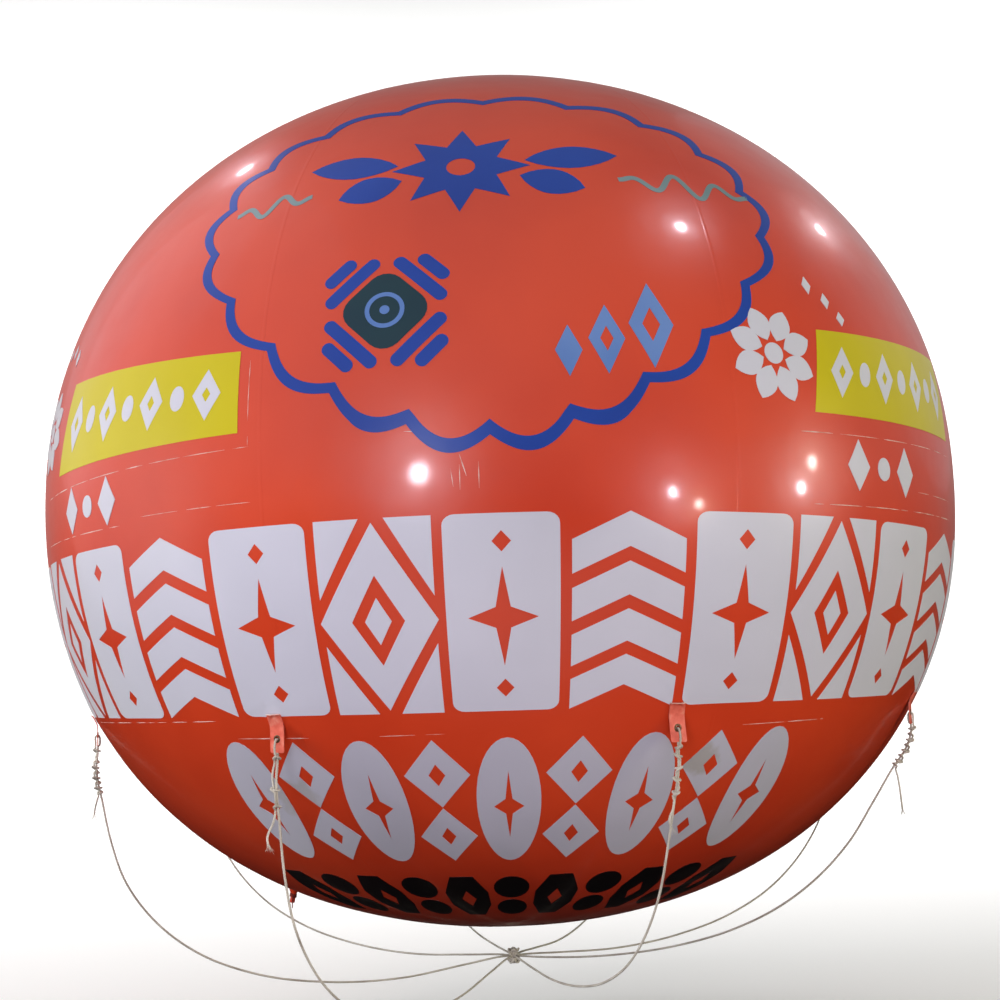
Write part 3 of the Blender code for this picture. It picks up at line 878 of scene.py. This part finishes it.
yellow_film = pvc_film("yellow_display_film", ((0.56, 0.47, 0.002), (0.64, 0.54, 0.004)), 0.22, 0.15)
rosette = [[petal(*PETAL, 45.0 * step + 22.5)] for step in range(8)] + [[oval(0.070, 0.070, count=24)]]
small_marks = [
    [lozenge(*MARK_SIZE, -MARK_PITCH)], [oval(0.070, 0.070, count=20)], [lozenge(*MARK_SIZE, MARK_PITCH)],
]
yellow_groups = []
white_groups = []
for side in SIDES:
    for corners in PANELS:
        outline = finely([(0.0, 0.0), (1.0, 0.0), (1.0, 1.0), (0.0, 1.0)], 0.02)
        yellow_groups += turned_groups([[across_panel(corners, outline)]], side)
        for place in range(MOTIFS):
            middle = (place + 1) / (MOTIFS + 1)
            loops = [oval(0.062, 0.30, middle, 0.5, 20)]
            if place % 2 == 0:
                loops = [lozenge(0.115, 0.62, middle, 0.5), lozenge(0.034, 0.18, middle, 0.5)]
            white_groups += turned_groups([[across_panel(corners, loop) for loop in loops]], side)
    for middle, flecks, marks in zip(ROSETTES, FLECKS, MARKS):
        found = in_metres(rosette, *middle)
        for number, fleck in enumerate(flecks):
            found += in_metres([[lozenge(0.040, 0.070 - 0.008 * number)]], *fleck)
        white_groups += turned_groups(found + in_metres(small_marks, *marks), side)
cut_sheet("yellow_panels", yellow_groups, BAND_GRID, on_skin, FILM_PROUD, yellow_film, "film_yellow")
cut_sheet("white_motifs", white_groups, BAND_GRID, on_skin, OVERLAY_PROUD, white_film, "film_white")


# Emblem. High on the front and back a scalloped blue ring frames a blue star with leaves and two
# pale waves. Low inside it lie a blue-green medallion with a pale ring and three pale lozenges.
EMBLEM = (-0.7, 20.4)
RING_HALF_WIDTH = 0.905
RING_HALF_HEIGHT = 0.682
RING_LINE = 0.038
RING_STEPS = 400
RING_NARROWS = 0.17
SCALLOPS = 20
SCALLOP_DEPTH = 0.052
STAR_SIZE = 0.430
LEAF_WIDTH = 0.120
LEAVES = ((8.0, 0.50, 0.20), (-16.0, 0.40, 0.19), (172.0, 0.50, 0.20), (196.0, 0.40, 0.19))
WAVE_LINE = 0.020
WAVE_HEIGHT = 0.050
WAVE_STEPS = 72
MEDALLION = (-10.2, 10.4)
MEDALLION_TURN = 45.0
BARS = ((0.145, 0.215), (0.200, 0.120))


def scalloped_ring(side):
    """The outer or inner outline of an oval ring whose line swings in and out."""
    loop = []
    for turn in whole_turn(RING_STEPS):
        swing = SCALLOP_DEPTH * abs(math.sin(SCALLOPS * turn / 2.0)) + side * RING_LINE
        narrow = 1.0 - RING_NARROWS * max(0.0, -math.sin(turn))
        loop.append((
            (RING_HALF_WIDTH + swing) * math.cos(turn) * narrow, (RING_HALF_HEIGHT + swing) * math.sin(turn),
        ))
    return loop


def wave(first, last, height, swings):
    """A wavy strip between two places, dying away at both ends."""
    points = []
    for share in (step / WAVE_STEPS for step in range(WAVE_STEPS + 1)):
        lift = height * math.sin(math.pi * share) * math.sin(2.0 * math.pi * swings * share)
        points.append(Vector((
            first[0] + (last[0] - first[0]) * share, first[1] + (last[1] - first[1]) * share + lift,
        )))
    left = []
    right = []
    for index, point in enumerate(points):
        along = (points[min(WAVE_STEPS, index + 1)] - points[max(0, index - 1)]).normalized()
        aside = Vector((-along.y, along.x)) * WAVE_LINE / 2.0
        left.append(tuple(point + aside))
        right.append(tuple(point - aside))
    return [left + list(reversed(right))]


blue_film = pvc_film("blue_display_film", ((0.008, 0.042, 0.300), (0.014, 0.064, 0.400)), 0.22, 0.15)
teal_film = pvc_film("blue_green_display_film", ((0.005, 0.026, 0.055), (0.010, 0.046, 0.058)), 0.22, 0.15)
pale_film = pvc_film("grey_green_display_film", ((0.15, 0.24, 0.26), (0.23, 0.33, 0.37)), 0.24, 0.2)
sky_film = pvc_film("pale_blue_display_film", ((0.05, 0.15, 0.46), (0.15, 0.27, 0.62)), 0.24, 0.2)
star = [[pointed_star(STAR_SIZE, STAR_SIZE, 8, 0.56), oval(0.090, 0.090, count=24)]]
star += [[petal(reach, LEAF_WIDTH, foot, turn)] for turn, reach, foot in LEAVES]
bars = [
    [spun(moved(round_panel(0.042, length, (0.020, 0.020)), across), MEDALLION_TURN + quarter)]
    for quarter in (0.0, 90.0, 180.0, 270.0) for across, length in BARS
]
for name, film, slot, proud, laid in (
    ("emblem_ring", blue_film, "film_blue", FILM_PROUD, [
        (EMBLEM, [[scalloped_ring(0.5), scalloped_ring(-0.5)]]),
    ]),
    ("emblem_star", blue_film, "film_blue", FILM_PROUD, [((-3.2, 28.2), star), (MEDALLION, bars)]),
    ("emblem_waves", pale_film, "film_pale_blue", FILM_PROUD, [
        ((-24.3, 25.4), [wave((-0.150, 0.0), (0.130, 0.020), 0.8 * WAVE_HEIGHT, 2.0)]),
        ((21.4, 26.0), [wave((-0.215, 0.010), (0.250, 0.0), WAVE_HEIGHT, 3.0)]),
    ]),
    ("emblem_medallion", teal_film, "film_teal", FILM_PROUD, [
        (MEDALLION, [[spun(round_panel(0.215, 0.215, (0.060, 0.060)), MEDALLION_TURN)]]),
    ]),
    ("emblem_medallion_ring", sky_film, "film_pale_blue", OVERLAY_PROUD, [
        (MEDALLION, [[oval(0.120, 0.120), oval(0.092, 0.092)], [oval(0.030, 0.030, count=20)]]),
    ]),
    ("emblem_lozenges", sky_film, "film_pale_blue", FILM_PROUD, [
        ((6.6, 5.6), [[lozenge(0.080, 0.160)]]),
        ((10.2, 6.8), [[lozenge(0.110, 0.220), lozenge(0.040, 0.080)]]),
        ((14.6, 8.4), [[lozenge(0.140, 0.280), lozenge(0.056, 0.112)]]),
    ]),
):
    groups = []
    for side in SIDES:
        for (azimuth, tilt), shapes in laid:
            groups += in_metres(shapes, azimuth + side, tilt)
    cut_sheet(name, groups, BAND_GRID, on_skin, proud, film, slot)


# Film edges. Strips of clear film are laid along the level weld and round the artwork. Their edges are
# thin raised broken lines, coloured pale as a painted glint of the lifted edges.
EDGE_LINES = (
    ((-62.0, -1.4), (-23.7, -1.1)), ((-38.0, -5.9), (-23.7, -5.9)), ((-63.0, -6.3), (-41.4, -6.4)),
    ((30.0, -0.7), (61.0, 0.0)), ((49.6, -4.7), (61.0, -4.5)), ((31.5, -7.1), (61.1, -6.5)),
    ((-65.1, -28.3), (-33.6, -28.1)), ((-31.3, -30.3), (-21.8, -30.3)), ((-13.5, -30.2), (-6.5, -30.1)),
    # From (-4.3, -4.2) on, the short lines round the middle lamp's reflection are painted glints of small
    # creases.
    ((26.6, -30.3), (38.9, -30.1)), ((-23.7, 6.8), (-23.8, -1.0)), ((-4.3, -4.2), (-4.1, -5.8)),
    ((-3.5, -3.9), (-3.5, -6.1)), ((-3.5, -3.0), (-2.9, -4.9)), ((-1.8, -3.7), (-1.8, -6.0)),
    ((-8.4, -1.0), (-7.0, -1.1)),
)
EDGE_WIDTH = 0.0028
EDGE_PROUD = 0.00042
SHORTEST_DASH = 0.3


def wear_and_glint_finish(name, roughness, grain, stops, relief, weave=None, metallic=0.0):
    """A finish whose colour and relief follow one noise of (scale, detail), under a finer weave."""
    made, tree, shader = new_finish(name, roughness, metallic)
    patches = noise(tree, *grain)
    normal = bump(tree, patches, *relief)
    if weave:
        normal = bump(tree, noise(tree, *weave[:2]), *weave[2:], normal)
    tree.links.new(ramp(tree, patches, stops), shader["Base Color"])
    tree.links.new(normal, shader["Normal"])
    return made


# Its pale colour is a painted glint on the raised edges.
painted_glint_edge_film = wear_and_glint_finish(
    "painted_glint_film_edge", 0.42, (26.0, 3.0),
    ((0.36, (0.62, 0.23, 0.18)), (0.62, (0.80, 0.64, 0.60))), (0.3, 0.0006),
)
form = bmesh.new()
for side in SIDES:
    for first, last in EDGE_LINES:
        first = Vector(first)
        last = Vector(last)
        reach = (last - first).length
        place = 0.0
        while place < reach - SHORTEST_DASH:
            end = min(reach, place + chance.uniform(1.2, 6.5))
            count = max(2, round(end - place))
            dash = []
            for step in range(count + 1):
                azimuth, tilt = first.lerp(last, (place + (end - place) * step / count) / reach)
                dash.append((azimuth + side, tilt))
            add_weld(form, dash, EDGE_WIDTH * chance.uniform(0.6, 1.2), EDGE_PROUD, 0.2)
            place = end + chance.uniform(0.15, 1.3)
bmesh.ops.recalc_face_normals(form, faces=form.faces)
new_piece("film_edges", form, painted_glint_edge_film, "film_white", 50.0)


# Tether tabs. Eight straps of thick salmon PVC are welded to the skin below the girth. Each hangs
# free below its weld, stands off the film, leans a little its own way, and has curled up along its
# top edge, where a thin pale strip is a painted glare.
TAB_WIDTH = 0.050
TAB_LENGTH = 0.120
TAB_TOP = -0.003
TAB_FOOT = 0.028
TAB_LIFT = math.radians(28.0)
TAB_THICKNESS = 0.003
TAB_GRID = 0.0035
TAB_SEAT = 0.0002
TAB_DROP = 0.12
TAB_CURL = 0.0052
CURL_REACH = 0.015
CURL_WAVE = 0.35
TAB_SWAY = 0.7333
SWAY_FROM = 0.05
TAB_CORNER = 0.006
TAB_BEND = 0.0032
TAB_PAINTED_GLARE = 0.0008
TILT_PER_METRE = 34.3
TAB_PROBE = 0.0005
TAB_LEANS = (0.02, 0.0, 0.08, -0.03, 0.03, -0.02, 0.04, -0.03)
HOLE_DOWN = 0.0789
HOLE_OUT = 0.0262
BARREL_RADIUS = 0.0075

strap_pvc = wear_and_glint_finish(
    "salmon_pvc", 0.55, (38.0, 4.0),
    ((0.30, (0.66, 0.095, 0.058)), (0.54, (0.80, 0.155, 0.100)), (0.74, (0.86, 0.29, 0.21))),
    (0.25, 0.0012), (620.0, 1.0, 0.35, 0.0004),
)
hole_along = TAB_FOOT + (HOLE_DOWN - TAB_FOOT) * math.cos(TAB_LIFT)
strap_outline = [(TAB_WIDTH / 2.0, TAB_TOP), (-TAB_WIDTH / 2.0, TAB_TOP)]
for side, first in ((-1.0, 180.0), (1.0, 90.0)):
    for angle in (math.radians(first - 18.0 * step) for step in range(6)):
        strap_outline.append((
            side * (TAB_WIDTH / 2.0 - TAB_CORNER) + TAB_CORNER * math.cos(angle),
            TAB_LENGTH - TAB_CORNER + TAB_CORNER * math.sin(angle),
        ))
strap_opening = oval(2.0 * BARREL_RADIUS, 2.0 * BARREL_RADIUS, 0.0, HOLE_DOWN, 32)
for index, tab_lean in enumerate(TAB_LEANS):
    hole, level, fall, out = strap_axes(index + 1)
    seat_fall = math.cos(TAB_LIFT) * fall - math.sin(TAB_LIFT) * out
    seat_out = math.sin(TAB_LIFT) * fall + math.cos(TAB_LIFT) * out
    seat = hole - hole_along * seat_fall - HOLE_OUT * seat_out
    azimuth = math.degrees(math.atan2(seat.x, -seat.y))
    radius = math.hypot(seat.x, seat.y)
    warp = chance.uniform(-1.0, 1.0)
    curl = chance.uniform(0.7, 1.2)

    def strap_place(across, length, lift):
        """A place across and down a strap: on the film at its weld, then straight through its eyelet."""
        along = min(length, TAB_FOOT) + max(0.0, length - TAB_FOOT) * math.cos(TAB_LIFT)
        across += tab_lean * (along - hole_along)

        def height(down):
            tilt = TAB_TILT - TAB_DROP - TILT_PER_METRE * down
            film = (on_skin(azimuth + math.degrees(across / radius), tilt) - seat).dot(seat_out)
            film += FILM_PROUD + TAB_SEAT + TAB_THICKNESS / 2.0
            line = HOLE_OUT + (down - hole_along) * math.tan(TAB_LIFT)
            top = max(0.0, 1.0 - max(0.0, down - TAB_TOP) / CURL_REACH)
            film += TAB_CURL * curl * top**2 * (1.0 + CURL_WAVE * math.sin(90.0 * across + 2.0 * warp))
            sway = TAB_SWAY * warp * across * max(0.0, down - SWAY_FROM)
            return (film + line) / 2.0 + math.sqrt(((film - line) / 2.0) ** 2 + TAB_BEND**2) + sway

        rise = (height(along + TAB_PROBE) - height(along - TAB_PROBE)) / (2.0 * TAB_PROBE)
        facing = (seat_out - rise * seat_fall).normalized()
        return seat + across * level + along * seat_fall + height(along) * seat_out + lift * facing

    strap = cut_sheet(
        f"salmon_strap_{index + 1}", [[strap_outline, strap_opening]], TAB_GRID, strap_place,
        TAB_THICKNESS / 2.0, strap_pvc, "tab", -TAB_THICKNESS / 2.0,
    )
    # The thin strip above the strap's seat takes the pale edge finish as a painted glare along the curl.
    strap.data.materials.append(painted_glint_edge_film)
    for face in strap.data.polygons:
        if (face.center - seat).dot(seat_fall) < -TAB_PAINTED_GLARE:
            face.material_index = 1
    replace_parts(strap, f"tether_tab_{index + 1}")


# Eyelets. Each strap has one brass eyelet, rolled over on both faces and gone brown outdoors.
EYELET_PROFILE = (
    (0.0060, 0.0), (0.0060, 0.0016), (0.0063, 0.0026), (0.0071, 0.0032), (0.0083, 0.0033), (0.0100, 0.0028),
    (0.0115, 0.0022), (0.0120, 0.0018), (0.0117, 0.0015), (0.0074, 0.0015),
)
EYELET_STEPS = 40
EYELET_STAND = 0.0005

brown_brass = wear_and_glint_finish(
    "brown_brass", 0.38, (210.0, 3.0),
    ((0.32, (0.10, 0.045, 0.030)), (0.60, (0.26, 0.15, 0.075)), (0.78, (0.46, 0.32, 0.16))),
    (0.2, 0.0002), metallic=0.85,
)
both_faces = [*EYELET_PROFILE, *[(radius, -height) for radius, height in reversed(EYELET_PROFILE[1:])]]
for index in range(8):
    hole, level, fall, out = strap_axes(index + 1)
    form = bmesh.new()
    profile = [hole + radius * level + (height + EYELET_STAND) * out for radius, height in both_faces]
    turn_profile(form, profile, out, hole, EYELET_STEPS, True)
    ring = new_piece(f"rolled_eyelet_{index + 1}", form, brown_brass, "eyelet", 40.0)
    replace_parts(ring, f"eyelet_{index + 1}")


# Filling neck. A short sleeve of the skin's film stands on a round welded patch low on one side. It
# is gathered in pleats, folded down and tied off with turns of thin dark red cord.
NECK_PLACE = (-86.25, -63.5)
NECK_PATCH_RADIUS = 0.054
NECK_PATCH_PROUD = 0.0020
NECK_SEAT = 0.0005
NECK_GRID = 0.006
NECK_MOUTH = 0.050
NECK_RADII = (
    0.0400, 0.0345, 0.0318, 0.0292, 0.0262, 0.0230, 0.0196, 0.0163,
    0.0136, 0.0118, 0.0110, 0.0108, 0.0114, 0.0122, 0.0128, 0.0130,
)
NECK_SPACING = 0.0026
NECK_SIDES = 96
NECK_LIP = ((0.86, 0.0), (0.62, -0.006), (0.25, -0.011))
PLEATS = 12
PLEAT_DEPTH = 0.15
GATHER_FROM = 0.22
GATHER_OVER = 0.4
TAIL_FLATTENS = 0.22
TIE_AT = 0.66
TIE_TURNS = 4
TIE_STEPS = 24
TIE_RADIUS = 0.0128
TIE_ROPE = 0.0019
TIE_SPACING = 0.0024
TIE_END = ((0.004, 0.004), (0.007, 0.014), (0.006, 0.028), (0.009, 0.040))

neck_point, neck_out = skin_frame(*NECK_PLACE)
neck_level = around(NECK_PLACE[0] + 90.0, 1.0, 0.0)
neck_ring = math.hypot(neck_point.x, neck_point.y)
neck_ends = [skin_frame(NECK_PLACE[0], NECK_PLACE[1] + half)[0] for half in (0.5, -0.5)]
neck_slope = (neck_ends[0] - neck_ends[1]).length


def neck_place(across, up, lift):
    return on_skin(NECK_PLACE[0] + math.degrees(across / neck_ring), NECK_PLACE[1] + up / neck_slope, lift)


rim = oval(2.0 * NECK_PATCH_RADIUS, 2.0 * NECK_PATCH_RADIUS, count=72)
mouth = oval(NECK_MOUTH, NECK_MOUTH, count=48)
patch = cut_sheet(
    "neck_weld_patch", [[rim, mouth]], NECK_GRID, neck_place, NECK_PATCH_PROUD, strap_pvc, "tab"
)
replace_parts(patch, "neck_patch")

root = on_skin(*NECK_PLACE, NECK_SEAT)
collar = root + 0.010 * neck_out
elbow = root + 0.024 * neck_out
waist = elbow + 0.030 * (neck_out + DOWN).normalized()
tail = waist + 0.028 * (neck_out + 1.5 * DOWN).normalized()
sleeve_line = smooth_line([root, collar, elbow, waist, tail], NECK_SPACING)
rings = []
for index, (point, (across, beside)) in enumerate(zip(sleeve_line, carried_frames(sleeve_line, neck_level))):
    share = index / (len(sleeve_line) - 1)
    place = share * (len(NECK_RADII) - 1)
    low = min(len(NECK_RADII) - 2, int(place))
    radius = NECK_RADII[low] + (NECK_RADII[low + 1] - NECK_RADII[low]) * (place - low)
    gather = PLEAT_DEPTH * min(1.0, max(0.0, share - GATHER_FROM) / GATHER_OVER)
    flat = 1.0 - TAIL_FLATTENS * max(0.0, share - TIE_AT) / (1.0 - TIE_AT)
    ring = []
    for turn in whole_turn(NECK_SIDES):
        swirl = turn + 0.5 * share + 0.12 * math.sin(3.0 * turn)
        pleat = 1.0 - gather * (0.5 - 0.5 * math.cos(PLEATS * swirl)) ** 1.5
        way = math.cos(turn) * across + flat * math.sin(turn) * beside
        ring.append(point + radius * pleat * way)
    rings.append(ring)
end = sleeve_line[-1]
outward = (end - sleeve_line[-2]).normalized()
rings += [[end.lerp(place, share) + outward * depth for place in rings[-1]] for share, depth in NECK_LIP]
form = bmesh.new()
add_rings(form, rings)
bmesh.ops.recalc_face_normals(form, faces=form.faces)
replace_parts(new_piece("gathered_neck", form, skin_pvc, "skin", 70.0), "filling_neck")

tie_cord = wear_and_glint_finish(
    "dark_red_cord", 0.7, (480.0, 2.0),
    ((0.34, (0.10, 0.012, 0.008)), (0.66, (0.26, 0.030, 0.018))), (0.5, 0.0005),
)
tie_index = round(TIE_AT * (len(sleeve_line) - 1))
tie_along = (sleeve_line[tie_index + 1] - sleeve_line[tie_index - 1]).normalized()
tie_across = (neck_level - neck_level.dot(tie_along) * tie_along).normalized()
tie_beside = tie_along.cross(tie_across)
wound = []
for step in range(TIE_STEPS * TIE_TURNS + 1):
    turn = 2.0 * math.pi * step / TIE_STEPS
    climb = (step / (TIE_STEPS * TIE_TURNS) - 0.5) * 2.0 * TIE_ROPE * (TIE_TURNS - 0.4)
    way = math.cos(turn) * tie_across + math.sin(turn) * tie_beside
    wound.append(sleeve_line[tie_index] + TIE_RADIUS * way + climb * tie_along)
wound += [wound[-1] + reach * tie_across + sink * DOWN for reach, sink in TIE_END]
form = bmesh.new()
add_tube(form, smooth_line(wound, TIE_SPACING), lambda ring, turn: TIE_ROPE, tie_along)
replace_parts(new_piece("neck_lashing", form, tie_cord, "rope"), "neck_tie")


# Studio. A pale sweep runs up all round under a sky that brightens softly overhead. Soft windows
# light the balloon from the sides, above and below, and small lamps and pale discs are set where
# their reflections stand on the film.
FLOOR_HEIGHT = -2.31
SWEEP = (
    (2.0, 0.0), (5.0, 0.0), (9.0, 0.0), (11.0, 0.12), (12.6, 0.7), (13.6, 1.8), (14.0, 3.2), (14.0, 14.0),
)
SWEEP_GREY = 0.80
SWEEP_LIGHT = 0.22
SWEEP_COLUMNS = 96
SKY_GLOW = (-0.40, -0.73, 0.55)
SKY_STRENGTH = 0.85
SKY_STOPS = ((0.15, 0.30), (0.26, 0.42), (0.42, 0.30), (0.62, 0.30), (0.82, 0.66), (0.94, 0.95))
UNDER_SKY = 0.03
SKY_EDGE = (-0.14, 0.16)
WHITE = (1.0, 1.0, 1.0)
# Each window has a name, a place, a size, its watts and its colour. The two that light the sweep
# also have what they face and their spread.
WINDOWS = (
    ("key_window", (-3.4, -8.3, 0.6), (3.0, 3.0), 71.0, WHITE),
    ("left_fill_window", (-8.8, -1.8, 0.2), (4.0, 4.0), 420.0, (1.0, 0.99, 0.98)),
    ("right_fill_window", (8.0, -3.9, -0.2), (4.0, 3.0), 208.0, (1.0, 0.96, 0.60)),
    ("low_fill_window", (0.0, -4.2, -2.2), (5.0, 1.8), 48.0, (1.0, 0.86, 0.93)),
    ("top_window", (-4.0, -0.8, 6.5), (3.0, 3.0), 58.0, (1.0, 0.66, 0.55)),
    ("backdrop_window_left", (-4.5, 5.0, 9.5), (4.0, 3.0), 700.0, WHITE, (-3.5, 13.5, 0.5), 130.0),
    ("backdrop_window_right", (4.5, 5.0, 9.5), (4.0, 3.0), 700.0, WHITE, (3.5, 13.5, 0.5), 130.0),
)
# Each lamp has the azimuth and tilt of its reflection on the film, its watts, the width and the light
# of its face, the light of its glow, and its warmth.
LAMPS = (
    (-33.3, 34.9, 16.0, 0.26, 0.25, 0.20, 0.0), (-7.2, -4.4, 20.0, 0.42, 1.3, 1.2, 0.0),
    (41.4, 24.2, 4.0, 0.22, 0.45, 0.35, 0.2), (19.6, 20.0, 4.0, 0.20, 2.2, 0.5, 0.0),
    (31.4, -3.3, 4.0, 0.20, 1.6, 0.35, 0.9), (30.0, -5.7, 4.0, 0.20, 2.4, 0.50, 0.3),
    (15.6, -6.6, 5.0, 0.18, 3.0, 0.9, 0.0), (18.2, -7.6, 3.0, 0.12, 3.5, 0.6, 1.0),
)
LAMP_DISTANCE = 5.0
LAMP_SIZE = 0.16
LAMP_LIGHT = 115.0
LAMP_WHITE = Vector((0.90, 0.88, 1.0))
LAMP_WARM = Vector((1.0, 0.84, 0.50))
FACE_WARMTH = 0.4
GLOWS = ((0.75, 6.0), (1.6, 0.7))
DISC_GAP = 0.05
# Each veil has an azimuth, a rise and a light, and the reaches of its discs in degrees.
VEILS = (
    (-106.0, 32.0, 0.34, (27.0, 22.0, 18.0, 14.0, 11.0, 8.0)), (-78.0, 20.0, 0.42, (40.0, 35.0, 30.0, 25.0)),
    (123.0, 32.0, 0.18, (27.0, 13.0, 10.0, 8.0, 6.0)),
)
VEIL_DISTANCE = 9.0

form = bmesh.new()
middle = form.verts.new((0.0, 0.0, FLOOR_HEIGHT))
lines = []
for azimuth in (360.0 * column / SWEEP_COLUMNS for column in range(SWEEP_COLUMNS)):
    line = (around(azimuth, radius, FLOOR_HEIGHT + height) for radius, height in SWEEP)
    lines.append([form.verts.new(place) for place in line])
for first, last in pairs_round(lines):
    form.faces.new((middle, first[0], last[0]))
    for corners in zip(first, first[1:], last[1:], last):
        form.faces.new(corners)
mesh = smooth_mesh("pale_sweep", form)
sweep_paint, tree, shader = new_finish("sweep_paint", 0.9)
shader["Base Color"].default_value = (SWEEP_GREY, SWEEP_GREY, SWEEP_GREY, 1.0)
shader["Specular IOR Level"].default_value = 0.1
shader["Emission Color"].default_value = (*WHITE, 1.0)
shader["Emission Strength"].default_value = SWEEP_LIGHT
mesh.materials.append(sweep_paint)
sweep = bpy.data.objects.new("pale_sweep", mesh)
bpy.context.scene.collection.objects.link(sweep)
sweep.visible_glossy = False
sweep.visible_diffuse = False


def soft_light(name, place, size, power, colour=WHITE, target=(0.0, 0.0, 0.0), spread=180.0, mirrored=False):
    """A soft light of (width, height). A mirrored one lights nothing and only shows in the film."""
    light = bpy.data.lights.new(name, "AREA")
    light.shape = "ELLIPSE"
    light.size, light.size_y = size
    light.energy = power
    light.spread = math.radians(spread)
    light.color = colour
    made = bpy.data.objects.new(name, light)
    made.location = place
    made.rotation_mode = "QUATERNION"
    made.rotation_quaternion = (Vector(target) - Vector(place)).to_track_quat("-Z", "Y")
    made.visible_glossy = mirrored
    made.visible_diffuse = not mirrored
    bpy.context.scene.collection.objects.link(made)


def mirrored_disc(name, place, width, light, warmth=0.0, target=(0.0, 0.0, 0.0)):
    """A round face that only shows in the film: light is how bright it is."""
    power = light * math.pi * math.pi * width**2 / 4.0
    colour = LAMP_WHITE.lerp(LAMP_WARM, warmth)
    soft_light(name, place, (width, width), power, colour, target, mirrored=True)


for window in WINDOWS:
    soft_light(*window)
for number, (azimuth, tilt, power, size, face, glow, warmth) in enumerate(LAMPS, 1):
    point, normal = skin_frame(azimuth, tilt)
    seen = (CAMERA_PLACE - point).normalized()
    bounced = 2.0 * normal.dot(seen) * normal - seen
    lamp_place = point + LAMP_DISTANCE * bounced
    soft_light(f"hall_lamp_{number}", lamp_place, (LAMP_SIZE, LAMP_SIZE), power, target=point)
    discs = [(f"lamp_face_{number}", size, LAMP_LIGHT * face, FACE_WARMTH * warmth)]
    for step, (width, light) in enumerate(GLOWS, 1):
        discs.append((f"lamp_glow_{number}_{step}", width, light * glow, warmth))
    for step, (name, width, light, tint) in enumerate(discs, 1):
        mirrored_disc(name, lamp_place + DISC_GAP * step * bounced, width, light, tint, point)
for number, (azimuth, rise, light, reaches) in enumerate(VEILS, 1):
    lean = math.radians(rise)
    place = VEIL_DISTANCE * (math.cos(lean) * around(azimuth, 1.0, 0.0) + math.sin(lean) * UP)
    for reach in reaches:
        size = 2.0 * VEIL_DISTANCE * math.tan(math.radians(reach))
        mirrored_disc(f"pale_window_{number}_{round(reach)}", place, size, light)

bpy.context.scene.view_settings.view_transform = "Standard"
world = bpy.data.worlds.new("studio_sky")
bpy.context.scene.world = world
world.use_nodes = True
tree = world.node_tree
direction = add_node(tree, "TexCoord", {}).outputs["Generated"]
toward = add_node(tree, "VectorMath", {0: direction, 1: SKY_GLOW}, operation="DOT_PRODUCT").outputs["Value"]
stops = [(place, (value, value, value)) for place, value in SKY_STOPS]
sky = ramp(tree, ranged(tree, toward, -1.0, 1.0, 0.0, 1.0), stops)
rise = add_node(tree, "SeparateXYZ", {"Vector": direction}).outputs["Z"]
above = ranged(tree, rise, *SKY_EDGE, UNDER_SKY, 1.0)
dimmed = add_node(tree, "VectorMath", {0: sky, "Scale": above}, operation="SCALE").outputs["Vector"]
background = tree.nodes["Background"].inputs
tree.links.new(dimmed, background["Color"])
background["Strength"].default_value = SKY_STRENGTH
